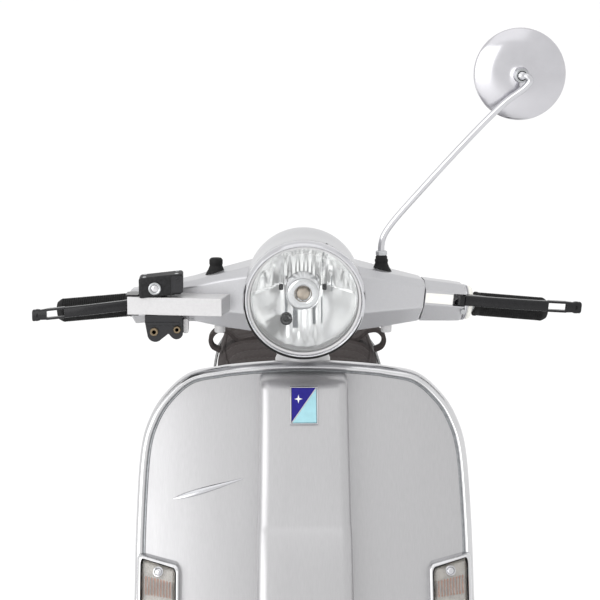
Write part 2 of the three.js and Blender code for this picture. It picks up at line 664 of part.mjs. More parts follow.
function frontLinkBody() {
  const [y, z] = LINK_PIVOT;
  const [fy, fz] = FRONT_SHOCK_FOOT;
  const outside = FORK_X - 15; // the link's plate runs outside the fork's eye
  const plate = prism("x", [[y - 15, z - 6], [y - 6, z + 15], [-690, z + 14], [FRONT_Y + 14, WHEEL_R + 26],
    [FRONT_Y + 28, WHEEL_R], [FRONT_Y, WHEEL_R - 26], [-690, z - 24], [y, z - 16]], outside - 7, outside);
  const axle = rod(V(outside, FRONT_Y, WHEEL_R), V(24, FRONT_Y, WHEEL_R), AXLE_R, AXLE_R, 24);
  const shoulder = rod(V(outside - 2, FRONT_Y, WHEEL_R), V(-51, FRONT_Y, WHEEL_R), 18);
  const nut = rod(V(22.6, FRONT_Y, WHEEL_R), V(34, FRONT_Y, WHEEL_R), 14, 14, 6);
  const caliperArm = prism("x", [[FRONT_Y, WHEEL_R - 16], [FRONT_Y + 104, WHEEL_R - 34], [FRONT_Y + 104,
    WHEEL_R + 2],
    [FRONT_Y, WHEEL_R + 16]], -63, -56);
  const shockPin = rod(V(outside - 6, fy, fz), V(SHOCK_X - 10, fy, fz), PIN_R, PIN_R, 12);
  return join(plate, axle, shoulder, nut, caliperArm, shockPin);
}

function brakeCaliper() {
  const body = prism("x", [[FRONT_Y + 62, WHEEL_R - 42], [FRONT_Y + 104, WHEEL_R - 44], [FRONT_Y + 108,
    WHEEL_R + 14],
    [FRONT_Y + 66, WHEEL_R + 14]], -56 + GAP, -28);
  const discWay = rod(V(-46, FRONT_Y, WHEEL_R), V(-39, FRONT_Y, WHEEL_R), 97, 97, ROUND);
  return cut(body, discWay);
}

const SHOCK_X = -110;

// Upper half of a damper: eye, spring seat and a tube that the rod slides in.
function shockUpper(x, top, foot, length) {
  const from = V(x, ...top);
  const along = V(x, ...foot).sub(from).normalize();
  const eye = rod(V(x - 12, ...top), V(x + 12, ...top), 11, 11, 12);
  const body = turned([[0, 6], [16, 6], [18, 16], [18, length * 0.5], [8.6, length * 0.5], [8.6, 24], [0,
    24]], from, along, 16);
  return join(eye, body);
}

function shockLower(x, top, foot, stroke) {
  const from = V(x, ...foot);
  const span = V(x, ...top).sub(from).length();
  const along = V(x, ...top).sub(from).normalize();
  const eye = rod(V(x - 12, ...foot), V(x + 12, ...foot), 12, 12, 12);
  const open = rod(V(x - 20, ...foot), V(x + 20, ...foot), 9, 9, 14);
  const body = turned([[0, 4], [15, 4], [17, 12], [17, span * 0.5 - stroke - 4], [7.8,
    span * 0.5 - stroke - 4],
    [7.8, span - stroke - 30], [0, span - stroke - 30]], from, along, 16);
  return cut(join(eye, body), open);
}

piece("steering_column", steeringColumn(), steel);
piece("front_link", frontLinkBody(), castAlloy);
piece("brake_caliper", brakeCaliper(), castAlloy);
piece("front_shock_upper", shockUpper(SHOCK_X, FRONT_SHOCK_TOP, FRONT_SHOCK_FOOT, 206), blackPart);
piece("front_shock_lower", shockLower(SHOCK_X, FRONT_SHOCK_TOP, FRONT_SHOCK_FOOT, 30), steel);

// ---------------------------------------------------------------- front mudguard
const GUARD = { z: 222, r: 255, half: 80, rearHalf: 50, t: 2.2, drop: 48 };

function guardSection(turn, inset) {
  const around = rad(turn); // 0 points back along +Y, 90 up
  const backness = Math.max(0, Math.cos(around));
  const half = lerp(GUARD.half, GUARD.rearHalf, backness ** 0.7) - inset;
  const skirt = 70 * Math.sin(Math.max(0, around)) ** 0.8 + 8;
  const arch = [[-1, 1, 1], [-1, 1, 0], [-0.92, 0.62, 0], [-0.6, 0.2, 0], [0, 0, 0], [0.6, 0.2, 0], [0.92,
    0.62, 0],
    [1, 1, 0], [1, 1, 1]];
  return arch.map(([x, down, low]) => {
    const r = GUARD.r - inset - GUARD.drop * down - low * skirt;
    return V(x * half, FRONT_Y + r * Math.cos(around), GUARD.z + r * Math.sin(around));
  });
}

function frontMudguard() {
  const steps = 13;
  const rows = Array.from({ length: steps + 1 }, (_, i) => lerp(5, 158, i / steps));
  const shell = skin(rows.map((turn) => guardSection(turn, 0)), rows.map((turn) => guardSection(turn,
    GUARD.t)));
  const forkWay = tube([axisPoint(500).toArray(), axisPoint(455).toArray(), ...FORK_PATH], FORK_R + 4, 18,
    8);
  const opening = block([-140, -50], [-790, -515], [150, 418]);
  const columnWay = rod(axisPoint(400), axisPoint(520), COLUMN_R + 1);
  const tab = prism("x", [[-527, 431], [-518, 448], [-504, 448], [-498, 416]], 17, 20.5);
  return join(cut(shell, forkWay, opening, columnWay), tab);
}

piece("front_mudguard", frontMudguard(), paint);

// ---------------------------------------------------------------- engine, exhaust and rear damper
function engineCase() {
  const [py, pz] = SWING_PIVOT;
  const outline = [[412, 190], [412, 312], [520, 330], [600, 322], [676, 292], [700, 230], [676, 168],
    [600, 152],
    [440, 156]];
  const crankcase = prism("x", outline, -150, -54);
  const arm = prism("x", [[py - 10, 252], [py - 10, 288], [430, 308], [430, 220]], -100, -62);
  const pivot = rod(V(-124, py, pz), V(124, py, pz), 22, 22, 20);
  const axle = rod(V(-60, REAR_Y, WHEEL_R), V(24, REAR_Y, WHEEL_R), REAR_AXLE_R, REAR_AXLE_R, 24);
  const nut = rod(V(22.6, REAR_Y, WHEEL_R), V(36, REAR_Y, WHEEL_R), 16, 16, 6);
  const kickShaftWay = rod(V(-160, 470, 215), V(-120, 470, 215), 10.6, 10.6, 24);
  const [fy, fz] = REAR_SHOCK_FOOT;
  const shockWay = rod(V(SHOCK_REAR_X - 19, fy, fz), V(SHOCK_REAR_X + 19, fy, fz), 21, 21, 16);
  const pin = rod(V(SHOCK_REAR_X - 30, fy, fz), V(SHOCK_REAR_X + 30, fy, fz), PIN_R, PIN_R, 12);
  return join(cut(join(crankcase, arm, pivot, axle, nut), kickShaftWay, shockWay), pin);
}

const SHOCK_REAR_X = -88;

function cylinderCowl() {
  const ring = (x, grow) => roundRect(384 - grow, 556 + grow, 226 - grow, 392 + grow, 26).map(([y,
    z]) => V(x, y, z));
  return loft([ring(-150 - GAP, -6), ring(-160, 0), ring(-206, 0), ring(-218, -12)]);
}

function exhaust() {
  const ring = (y, grow) => roundRect(-165 - grow, -66 + grow, 92 - grow, 142 + grow, 16).map(([x,
    z]) => V(x, y, z));
  const can = loft([ring(384, -8), ring(394, 0), ring(556, 0), ring(566, -8)]);
  const pipe = tube([[-112, 560, 112], [-114, 620, 108], [-116, 700, 104], [-116, 742, 104]], 11, 10, 12);
  return join(can, pipe);
}

const KICK = [470, 215];

function kickLever() {
  const [y, z] = KICK;
  const shaft = rod(V(-130, y, z), V(-232, y, z), 10, 10, 20);
  const arm = prism("x", [[y + 12, z + 8], [y, z + 14], [344, 236], [334, 226], [340, 214], [y, z - 14]],
    -240, -228);
  const pedal = rod(V(-238, 342, 225), V(-288, 342, 225), 9, 9, 14);
  return join(shaft, arm, pedal);
}

piece("engine_case", engineCase(), castAlloy);
piece("cylinder_cowl", cut(cylinderCowl(), rod(V(-250, KICK[0], KICK[1]), V(-140, KICK[0], KICK[1]), 14)),
  blackPart);
piece("exhaust", exhaust(), blackPart);
piece("kick_lever", kickLever(), castAlloy);
piece("rear_shock_upper", shockUpper(SHOCK_REAR_X, REAR_SHOCK_TOP, REAR_SHOCK_FOOT, 220), blackPart);
piece("rear_shock_lower", shockLower(SHOCK_REAR_X, REAR_SHOCK_TOP, REAR_SHOCK_FOOT, 60), steel);

// ---------------------------------------------------------------- centre stand
const STAND_PIVOT = [110, 236];

function centreStand() {
  const [y, z] = STAND_PIVOT;
  const cross = rod(V(-84, y, z), V(84, y, z), 11);
  const legs = [-1, 1].map((side) => join(
    rod(V(side * 72, y, z), V(side * 150, y - 14, 14), 10, 10, 14),
    block([side * 152 - 16, side * 152 + 16], [y - 36, y + 4], [0, 12])));
  const brace = rod(V(-99, y - 5, z - 80), V(99, y - 5, z - 80), 7, 7, 12);
  return join(cross, brace, ...legs);
}

piece("centre_stand", centreStand(), steel);

// ---------------------------------------------------------------- headset with lamp and speedometer
const lampBack = V(0, Math.cos(rad(LAMP_TILT)), Math.sin(rad(LAMP_TILT)));
const lampCentre = V(...LAMP);

// Section across the handlebar arm: front and rear faces with sloping chamfers between them.
function armSection(x, [front, rear, top, faceTop, faceLow, low]) {
  const [a, b] = [16, 22];
  return [[front, faceLow], [front, faceTop], [front + a, top], [rear - a, top], [rear, faceTop], [rear,
    faceLow],
    [rear - b, low], [front + b, low]].map(([y, z]) => V(x, y, z));
}

const ARM = [[0, [-354, -250, 1050, 1036, 976, 946]], [60, [-352, -254, 1046, 1033, 978, 949]],
  [116, [-345, -261, 1032, 1024, 982, 956]], [180, [-333, -268, 1017, 1012, 985, 964]]];

const SPEEDO = { centre: V(0, -226, 1054), axis: V(0, 0.52, 0.854).normalize(), r: 40 };
const KEY = { centre: V(46, -186, 1010), axis: V(0.25, 0.86, 0.44).normalize() };
const MIRROR_BASE = [109, -305];
const BLOCK_Z = [982, 1006];
const FEED = [-195, -352]; // x, y of the brake reservoir's neck

function headset() {
  const face = (s, r) => Array.from({ length: DOME_SIDES }, (_, i) => {
    const turn = (i / DOME_SIDES) * Math.PI * 2;
    const up = V(0, -Math.sin(rad(LAMP_TILT)), Math.cos(rad(LAMP_TILT)));
    return lampCentre.clone().addScaledVector(lampBack, s).add(V(r * Math.cos(turn), 0, 0))
      .addScaledVector(up, r * Math.sin(turn));
  });
  const dome = loft([face(GAP, 78), face(14, 81), ellipseY(-385, 80, 80, 1013), ellipseY(-330, 75, 75,
    1018),
    ellipseY(-275, 68, 66, 1013), ellipseY(-220, 58, 50, 1004), ellipseY(-184, 46, 34, 998),
      ellipseY(-176, 34, 22, 996)]);
  const arms = [-1, 1].map((side) => loft(ARM.map(([x, s]) => armSection(side * x, s))));
  const ends = [-1, 1].map((side) => {
    const start = side < 0 ? 236 : 163;
    return rod(barPoint(side * start), barPoint(side * 420), 70, 70, 12);
  });
  const bars = [-1, 1].map((side) => rod(barPoint(side * 120), barPoint(side * BAR_END), BAR_R, BAR_R, 14));
  const neck = rod(axisPoint(912), axisPoint(975), 38, 46, 18);
  const rightArm = loft([[-150, [-338, -264, 1022, 1016, 983, 962]], [-200, [-330, -272, 1012, 1006, 974,
    960]],
    [-250, [-326, -276, 1004, 998, 970, 956]]].map(([x, s]) => armSection(x, s)));
  const leverBlock = prism("z", [[-228, -372], [-112, -386], [-100, -340], [-140, -318], [-228, -318]],
    ...BLOCK_Z);
  const topBosses = [-1, 1].map((side) => rod(V(side * MIRROR_BASE[0], MIRROR_BASE[1], 1010),
    V(side * MIRROR_BASE[0], MIRROR_BASE[1], 1041), 13, 10));
  const underBosses = [-1, 1].map((side) => rod(V(side * 116, -312, 948), V(side * 116, -312, 975), 8, 8,
    14));
  const collar = rod(SPEEDO.centre.clone().addScaledVector(SPEEDO.axis, -40),
    SPEEDO.centre.clone().addScaledVector(SPEEDO.axis, 2), 50, 45, 18);
  const body = join(dome, ...arms, rightArm, leverBlock, neck, collar, ...topBosses, ...underBosses);

  const lampPocket = rod(lampCentre.clone().addScaledVector(lampBack, -10),
    lampCentre.clone().addScaledVector(lampBack, 78), 76, 71, 20);
  const speedoPocket = rod(SPEEDO.centre.clone().addScaledVector(SPEEDO.axis, -32),
    SPEEDO.centre.clone().addScaledVector(SPEEDO.axis, 30), SPEEDO.r + GAP, SPEEDO.r + GAP, 20);
  const bezelWay = rod(SPEEDO.centre.clone().addScaledVector(SPEEDO.axis, 2.2),
    SPEEDO.centre.clone().addScaledVector(SPEEDO.axis, 30), 45.2, 45.2, 20);
  const stem = rod(axisPoint(900), axisPoint(962), COLUMN_R + GAP, COLUMN_R + GAP, 24);
  const keyHole = rod(KEY.centre.clone().addScaledVector(KEY.axis, -24),
    KEY.centre.clone().addScaledVector(KEY.axis, 60), 8, 8, 20);
  const feedHole = rod(V(...FEED, 960), V(...FEED, 1030), 9, 9, 20);
  const leverWay = block([-240, -204.8], [-376, -334], [985.2, 1003.3]);
  const stalkHole = rod(V(...MIRROR_BASE, 1020), V(...MIRROR_BASE, 1050), 5.4, 5.4, 16);
  const casting = join(cut(body, ...ends), ...bars);
  return cut(casting, lampPocket, speedoPocket, bezelWay, stem, keyHole, feedHole, leverWay, stalkHole);
}

function lampRim() {
  return turned([[78, -6], [81, -5], [83, 0], [83, 5], [81.5, 8], [81.4, 0.2], [75, 0.2 - GAP], [75, -4]],
    lampCentre, lampBack, 28);
}

function lampLens() {
  const dome = [[0, -14], [34, -12.2], [58, -8], [74.6, -3], [74.6, 0], [56, -4.8], [33, -9], [0, -10.4]];
  return turned(dome, lampCentre, lampBack, 28);
}

function lampReflector() {
  const outer = [[74.4, 1], [74.4, 4], [70, 20], [56, 44], [30, 64], [14, 70], [14, 74], [0, 74]];
  const inner = [[0, 66], [26, 60], [52, 41], [66, 19], [71, 1]];
  return turned([...outer, ...inner], lampCentre, lampBack, 20);
}

function speedometer() {
  const profile = [[0, -28], [SPEEDO.r - 0.6, -28], [SPEEDO.r - 0.6, 2.6], [44, 2.6], [44, 7], [40, 9],
    [36, 6], [0, 8]];
  return turned(profile, SPEEDO.centre, SPEEDO.axis, 20);
}

function ignitionKey() {
  const at = (s) => KEY.centre.clone().addScaledVector(KEY.axis, s);
  const barrel = rod(at(-22), at(14), 7.4, 7.4, 20);
  const bow = prism("z", roundRect(-1.5, 1.5, 0, 30, 1), -11, 11);
  const turn = new THREE.Quaternion().setFromUnitVectors(V(0, 1, 0), KEY.axis);
  const { vertProperties, triVerts } = bow.getMesh();
  const geometry = new THREE.BufferGeometry();
  geometry.setAttribute("position", new THREE.BufferAttribute(new Float32Array(vertProperties), 3));
  geometry.setIndex([...triVerts]);
  geometry.applyQuaternion(turn);
  const tip = at(8);
  return join(barrel, solid(geometry.translate(tip.x, tip.y, tip.z)));
}

function brakeMasterCylinder() {
  const [x, y] = FEED;
  const tilt = (px) => (px - x) * 0.11;
  const lid = (inset) => [[-225 + inset, -378 + inset], [-165 - inset, -378 + inset], [-165 - inset,
    -341 - inset],
    [-225 + inset, -341 - inset]];
  const layer = (z, inset) => lid(inset).map(([px, py]) => V(px, py, z + tilt(px)));
  const reservoir = loft([layer(1011, 2), layer(1013, 0), layer(1040, 0), layer(1043, 3)]);
  const neck = rod(V(x, y, 970), V(x, y, 1020), 8.5, 8.5, 18);
  const clamp = prism("y", [[-217, 981], [-168, 981], [-166, 950], [-176, 945], [-188, 952], [-196, 952],
    [-206, 944],
    [-218, 948]], -376, -336);
  return join(reservoir, neck, clamp);
}

piece("headset", headset(), paint);
piece("headlamp_rim", lampRim(), chrome);
piece("headlamp_lens", lampLens(), clear);
piece("headlamp_reflector", lampReflector(), chrome);
piece("speedometer", speedometer(), blackPart);
piece("ignition_key", ignitionKey(), steel);
piece("brake_master_cylinder", brakeMasterCylinder(), blackPart);

// ---------------------------------------------------------------- grips, gear sleeve and levers
function grip(side, start) {
  const from = barPoint(side * start);
  const along = barPoint(side * 342).sub(from);
  const n = along.length();
  return turned([[BAR_R + 0.5, 0], [19, 0], [19, 5], [GRIP_R, 9], [GRIP_R - 0.5, n / 2], [GRIP_R, n - 8],
    [17, n - 6],
    [17, n], [0, n], [0, n - 3.5], [BAR_R + 0.5, n - 3.5]], from, along, 20);
}

// The gear sleeve is drawn along the bar in the bar's own frame: local x runs along it.
const barTurn = new THREE.Quaternion().setFromUnitVectors(ALONG_X,
  barPoint(1).sub(barPoint(0)).normalize());
const barFrame = new THREE.Group();
barFrame.position.copy(barPoint(0));
barFrame.quaternion.copy(barTurn);
scooter.add(barFrame);
const SLEEVE = { start: 166, end: 233 };
const CLUTCH_PIVOT = [219, -24]; // along the bar, and in front of it

function gearSleeve() {
  const section = (x, high, low, faceHigh, faceLow, out) => [[-out, faceLow], [-out, faceHigh], [-12,
    high], [12, high],
    [out, faceHigh], [out, faceLow], [12, low], [-12, low]].map(([y, z]) => V(x, y, z));
  const shell = loft([section(SLEEVE.start, 30, -28, 19, -2, 32), section(SLEEVE.end, 27, -23, 17, -2,
    31)]);
  const lip = turned([[12, 0], [25, 0], [25, 3], [21, 6], [12, 6]], V(SLEEVE.end - 1, 0, 1), ALONG_X, 24);
  const bore = rod(V(150, 0, 0), V(260, 0, 0), BAR_R + 0.5, BAR_R + 0.5, 24);
  const leverWay = block([CLUTCH_PIVOT[0] - 13, 250], [-50, -13], [-0.5, 16.5]);
  return cut(join(shell, lip), bore, leverWay);
}

// Lever: hub, blade that sweeps to the ball, slot near the tip. Drawn pointing along +x from its pivot.
function lever(reach, drop, sweep) {
  const half = 7;
  const outline = [[0, -9], [12, -9], [34, -14], [reach * 0.6, -21], [reach, -22], [reach, -12],
    [reach * 0.6, -11],
    [34, -3], [14, 8], [0, 9]];
  const at = (x, y, z) => V(x, y + sweep * (x / reach), z - drop * x);
  const blade = loft([-half, half].map((z) => outline.map(([x, y]) => at(x, y, z))));
  const knuckle = rod(V(0, 0, -half), V(0, 0, half), 9, 9, 16);
  const tip = at(reach, -17, 0);
  const ball = new THREE.SphereGeometry(8.5, 10, 7).translate(tip.x, tip.y, tip.z);
  const slot = block([reach - 34, reach - 14], [-60, 40], [-2.6 - drop * reach, 2.6 - drop * (reach - 24)]);
  return cut(join(blade, knuckle, solid(ball)), slot);
}

function moved(body, [x, y, z]) {
  const { vertProperties, triVerts } = body.getMesh();
  const geometry = new THREE.BufferGeometry();
  geometry.setAttribute("position", new THREE.BufferAttribute(new Float32Array(vertProperties), 3));
  geometry.setIndex([...triVerts]);
  return solid(geometry.translate(x, y, z));
}

piece("throttle_grip", grip(-1, 238), rubber);
piece("left_grip", grip(1, 238.5), rubber);
piece("gear_sleeve", gearSleeve(), castAlloy, barFrame);
piece("clutch_lever", moved(lever(152, -0.05, -16), [...CLUTCH_PIVOT, 8]), blackPart, barFrame);
const BRAKE_PIVOT = [-214.8, -352, 995.5];
piece("front_brake_lever", moved(mirrorX(lever(150, 0.13, 30)), BRAKE_PIVOT), blackPart);

// ---------------------------------------------------------------- switches
const SWITCH = { x: [118, 158], y: [-257, -236], z: [980, 1012] };

function switchHousing(side) {
  const s = SWITCH;
  const x = side > 0 ? s.x : [-s.x[1], -s.x[0]];
  const box = prism("y", roundRect(x[0], x[1], s.z[0], s.z[1], 5), s.y[0], s.y[1]);
  const sliderWay = block([side * 138 - 9, side * 138 + 9], [s.y[1] - 5, s.y[1] + 5], [998.5, 1006.5]);
  const buttonWay = rod(V(side * 138, s.y[1] - 6, 989), V(side * 138, s.y[1] + 6, 989), 6.6, 6.6, 20);
  return cut(box, buttonWay, ...(side > 0 ? [sliderWay] : []));
}

const pushButton = (side) => rod(V(side * 138, SWITCH.y[1] - 2.6, 989), V(side * 138, SWITCH.y[1] + 3,
  989), 6, 6, 16);
piece("switch_housing_left", switchHousing(1), blackPart);
piece("switch_housing_right", switchHousing(-1), blackPart);
piece("indicator_switch", block([134.5, 141.5], [SWITCH.y[1] - 4.4, SWITCH.y[1] + 4], [999, 1006]),
  blackPart);
piece("horn_button", pushButton(1), blackPart);
piece("starter_button", pushButton(-1), redLens);

// ---------------------------------------------------------------- mirror
const MIRROR = { centre: V(298, -302, 1304), r: 63.5, ball: V(298, -330, 1304) };

function mirrorStalk() {
  const [x, y] = MIRROR_BASE;
  const b = MIRROR.ball;
  const stalk = tube([[x, y, 1022], [x, y, 1048], [x, y, 1068], [x + 5, y, 1084], [x + 60, -313, 1152],
    [b.x - 24, -328, b.z - 38], [b.x + 6, -333, b.z - 14], [b.x + 11, -334, b.z - 6], [b.x + 7, -333,
      b.z - 1],
    [b.x + 2, -331, b.z]], 4.5, 26, 6);
  const ball = solid(new THREE.SphereGeometry(7, 10, 8).translate(b.x, b.y, b.z));
  const nut = rod(V(x, y, 1041 + GAP), V(x, y, 1047), 8, 8, 6);
  return join(stalk, ball, nut);
}

function mirrorHead() {
  const c = MIRROR.centre;
  const profile = [[0, -21], [8, -21], [9, -15], [14, -13.4], [36, -11], [54, -6.4], [61, -2], [MIRROR.r,
    2], [62.5, 6],
    [60, 6], [59, 4], [0, 4]];
  const socket = solid(new THREE.SphereGeometry(7.6, 12, 8).translate(MIRROR.ball.x, MIRROR.ball.y,
    MIRROR.ball.z));
  return cut(turned(profile, c, V(0, 1, 0), 20), socket);
}

piece("mirror_stalk", mirrorStalk(), chrome);
piece("mirror_head", mirrorHead(), chrome);

export default scooter;
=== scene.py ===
import math

import bmesh
import bpy
import numpy as np
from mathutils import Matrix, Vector
from mathutils.bvhtree import BVHTree


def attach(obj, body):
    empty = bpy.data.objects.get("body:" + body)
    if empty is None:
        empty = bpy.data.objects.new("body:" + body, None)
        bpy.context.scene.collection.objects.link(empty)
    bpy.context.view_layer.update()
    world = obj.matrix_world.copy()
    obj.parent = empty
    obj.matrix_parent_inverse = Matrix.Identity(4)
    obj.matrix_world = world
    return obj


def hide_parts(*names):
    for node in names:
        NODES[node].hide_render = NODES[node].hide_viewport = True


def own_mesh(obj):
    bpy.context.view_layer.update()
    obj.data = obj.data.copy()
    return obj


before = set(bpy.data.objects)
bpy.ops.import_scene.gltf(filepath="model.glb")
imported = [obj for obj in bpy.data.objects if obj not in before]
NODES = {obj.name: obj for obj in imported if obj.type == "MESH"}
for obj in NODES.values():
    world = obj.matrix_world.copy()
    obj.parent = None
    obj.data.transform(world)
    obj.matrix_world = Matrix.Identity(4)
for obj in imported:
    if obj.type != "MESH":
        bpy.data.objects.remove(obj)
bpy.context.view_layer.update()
MM = 0.001
SIDES = ((1, "left"), (-1, "right"))
CORNERS = ((-1, -1), (1, -1), (1, 1), (-1, 1))
X, Y, Z = (np.array(v, float) for v in ((1, 0, 0), (0, 1, 0), (0, 0, 1)))


# ---------------------------------------------------------------- mesh helpers (millimetres)
def P(*xyz):
    return np.array(xyz, float)


def unit(v):
    v = np.asarray(v, float)
    return v / np.linalg.norm(v)


def rad(degrees):
    return math.radians(degrees)


def curve_points(points, steps, power=0.5):
    """Catmull-Rom curve through the points; power 0.5 is centripetal, 0 uniform."""
    pts = [np.asarray(p, float) for p in points]
    pts = [2 * pts[0] - pts[1]] + pts + [2 * pts[-1] - pts[-2]]
    spans = len(pts) - 3
    out = []
    for i in range(steps + 1):
        at = i / steps * spans
        k = min(int(at), spans - 1)
        t = at - k
        p0, p1, p2, p3 = pts[k:k + 4]
        d0, d1, d2 = (max(np.linalg.norm(b - a), 1e-6) ** power for a, b in ((p0, p1), (p1, p2), (p2, p3)))
        m1 = ((p1 - p0) / d0 - (p2 - p0) / (d0 + d1) + (p2 - p1) / d1) * d1
        m2 = ((p2 - p1) / d1 - (p3 - p1) / (d1 + d2) + (p3 - p2) / d2) * d1
        out.append(p1 + t * m1 + t * t * (-3 * p1 + 3 * p2 - 2 * m1 - m2) + t ** 3 * (2 * p1 - 2 * p2 + m1 + m2))
    return np.array(out)


def loft(sections, cap=True, closed=False, ring=True):
    """Skin over rows of outlines. ring joins each outline's ends; closed joins the last row to the first."""
    s = np.array(sections, float)
    rows, n = s.shape[:2]
    faces = []
    for i in range(rows if closed else rows - 1):
        a, b = i * n, (i + 1) % rows * n
        for j in range(n if ring else n - 1):
            k = (j + 1) % n
            faces.append((a + j, a + k, b + k, b + j))
    if cap and not closed and ring:
        faces.append(tuple(reversed(range(n))))
        faces.append(tuple(range((rows - 1) * n, rows * n)))
    return s.reshape(-1, 3), faces


def skin(front, back):
    """Closed plate between two grids of points of the same size."""
    f, b = np.array(front, float), np.array(back, float)
    rows, cols = f.shape[:2]
    rings = np.concatenate([f, b[:, ::-1]], axis=1)
    return loft(rings)


def smooth_rows(sections, steps, power=0.5):
    """More rows between the given ones, each point on a curve through its row mates."""
    s = np.array(sections, float)
    return np.stack([curve_points(s[:, j], steps, power) for j in range(s.shape[1])], axis=1)


def across(axis):
    a = unit(axis)
    u = unit(np.cross(Z if abs(a[2]) < 0.9 else Y, a))
    return a, u, np.cross(a, u)


def lathe(profile, centre, axis, segs=64, closed=True, wave=None):
    """Turns a profile of (radius, distance along the axis). wave(angle, k) adds to radii."""
    a, u, v = across(axis)
    rows = []
    for i in range(segs):
        t = 2 * math.pi * i / segs
        rows.append([np.asarray(centre) + a * h + (u * math.cos(t) + v * math.sin(t)) * (r +
            (wave(t, k) if wave else 0)) for k, (r, h) in enumerate(profile)])
    return loft(rows, closed=True, ring=closed)


def rod(p, q, r, r2=None, segs=32):
    d = np.asarray(q, float) - np.asarray(p, float)
    n = np.linalg.norm(d)
    return lathe([(0, 0), (r, 0), (r if r2 is None else r2, n), (0, n)], p, d, segs, closed=False)


def ball(centre, r, squash=1.0, axis=Z, segs=32):
    rows = [(r * math.sin(math.pi * i / 16), -r * squash * math.cos(math.pi * i / 16)) for i in range(17)]
    return lathe(rows, centre, axis, segs, closed=False)


def dome(centre, axis, r, height, segs=32):
    """Screw head or rivet: a low dome with a closed flat back."""
    rows = [(0, 0)] + [(r * math.cos(a), height * math.sin(a)) for a in np.linspace(0, math.pi / 2, 7)]
    return lathe(rows, centre, axis, segs, closed=False)


def nut(at, axis, r, h, tip, top):
    """Hexagon nut or bolt head: r to the corners up to h, then a chamfer to tip at top."""
    return lathe([(0, 0), (r, 0), (r, h), (tip, top), (0, top)], at, axis, 6, closed=False)


def turning(n, shift=0.0):
    """n even steps round a full turn."""
    return [2 * math.pi * (i + shift) / n for i in range(n)]


def block(x, y, z):
    return loft([[P(a, y[0], z[0]), P(a, y[1], z[0]), P(a, y[1], z[1]), P(a, y[0], z[1])] for a in x])


def prism(axis, outline, a, b):
    place = {"x": lambda p, t: P(t, *p), "y": lambda p, t: P(p[0], t, p[1]), "z": lambda p, t: P(*p, t)}[axis]
    return loft([[place(p, t) for p in outline] for t in (a, b)])


def round_rect(u0, u1, v0, v1, r, steps=5):
    out = []
    for u, v, start in ((u1 - r, v1 - r, 0), (u0 + r, v1 - r, 90), (u0 + r, v0 + r, 180), (u1 - r, v0 + r, 270)):
        out += [(u + r * math.cos(rad(start + 90 * i / steps)), v + r * math.sin(rad(start + 90 * i / steps)))
            for i in range(steps + 1)]
    return out


def sweep(path, r, sides=16, section=None, up=Z):
    """Tube along a path. r may be a number or one per point; section is a list of (u, v) instead of a circle."""
    p = np.array(path, float)
    tangents = np.gradient(p, axis=0)
    tangents /= np.linalg.norm(tangents, axis=1)[:, None]
    u = unit(np.cross(up if abs(np.dot(up, tangents[0])) < 0.95 else Y, tangents[0]))
    radii = np.full(len(p), r) if np.isscalar(r) else np.array(r, float)
    shape = section or [(math.cos(2 * math.pi * i / sides), math.sin(2 * math.pi * i / sides)) for i in range(sides)]
    rows = []
    for c, t, q in zip(p, tangents, radii):
        u = unit(u - t * np.dot(u, t))
        v = np.cross(t, u)
        rows.append([c + (u * a + v * b) * q for a, b in shape])
    return loft(rows)


def helix(p, q, r, turns, wire, per=20):
    a, u, v = across(np.asarray(q) - np.asarray(p))
    n = int(turns * per)
    length = np.linalg.norm(np.asarray(q) - np.asarray(p))
    path = []
    for i in range(n + 1):
        s = i / n
        t = 2 * math.pi * turns * s
        path.append(np.asarray(p) + a * length * s + (u * math.cos(t) + v * math.sin(t)) * r)
    return sweep(path, wire, 8, up=a)


def mirrored(part):
    verts, faces = part
    return np.array(verts) * (-1, 1, 1), faces


def moved(part, by):
    return np.array(part[0]) + np.asarray(by), part[1]


def make(name, parts, mat, body, slot=None, replaces=(), angle=32, bevel=0.0, segs=2):
    """One Blender piece from closed bodies in millimetres, riding on a CAD body."""
    parts = [parts] if isinstance(parts, tuple) else list(parts)
    bm = bmesh.new()
    for verts, faces in parts:
        made = [bm.verts.new(Vector(v) * MM) for v in np.asarray(verts, float)]
        for f in faces:
            try:
                bm.faces.new([made[i] for i in f])
            except ValueError:
                pass
        bmesh.ops.remove_doubles(bm, verts=made, dist=2e-6)
    bmesh.ops.dissolve_degenerate(bm, edges=bm.edges, dist=1e-6)
    bmesh.ops.recalc_face_normals(bm, faces=bm.faces)
    data = bpy.data.meshes.new(name)
    bm.to_mesh(data)
    bm.free()
    data.shade_smooth()
    obj = bpy.data.objects.new(name, data)
    bpy.context.scene.collection.objects.link(obj)
    obj.data.materials.append(mat)
    if bevel:
        m = obj.modifiers.new("edges", "BEVEL")
        m.width, m.segments, m.limit_method, m.angle_limit = bevel * MM, segs, "ANGLE", rad(angle)
        m.harden_normals = True
    else:
        data.set_sharp_from_angle(angle=rad(angle))
    if body:
        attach(obj, body)
        slot or SLOT_OF[mat.name]
    if replaces:
        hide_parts(*replaces)
    return obj


def carve(obj, *cutters):
    """Cuts closed bodies out of a piece and keeps the result as its mesh."""
    tool = make(obj.name + "_cutter", list(cutters), obj.data.materials[0], None)
    m = obj.modifiers.new("carve", "BOOLEAN")
    m.operation, m.object, m.solver = "DIFFERENCE", tool, "EXACT"
    keep = [(x.name, x.show_viewport) for x in obj.modifiers if x != m]
    for other, _ in keep:
        obj.modifiers[other].show_viewport = False
    bpy.context.view_layer.update()
    shaped = obj.evaluated_get(bpy.context.evaluated_depsgraph_get())
    data = bpy.data.meshes.new_from_object(shaped)
    obj.modifiers.remove(m)
    for other, shown in keep:
        obj.modifiers[other].show_viewport = shown
    obj.data = data
    bpy.data.objects.remove(tool)
    return obj


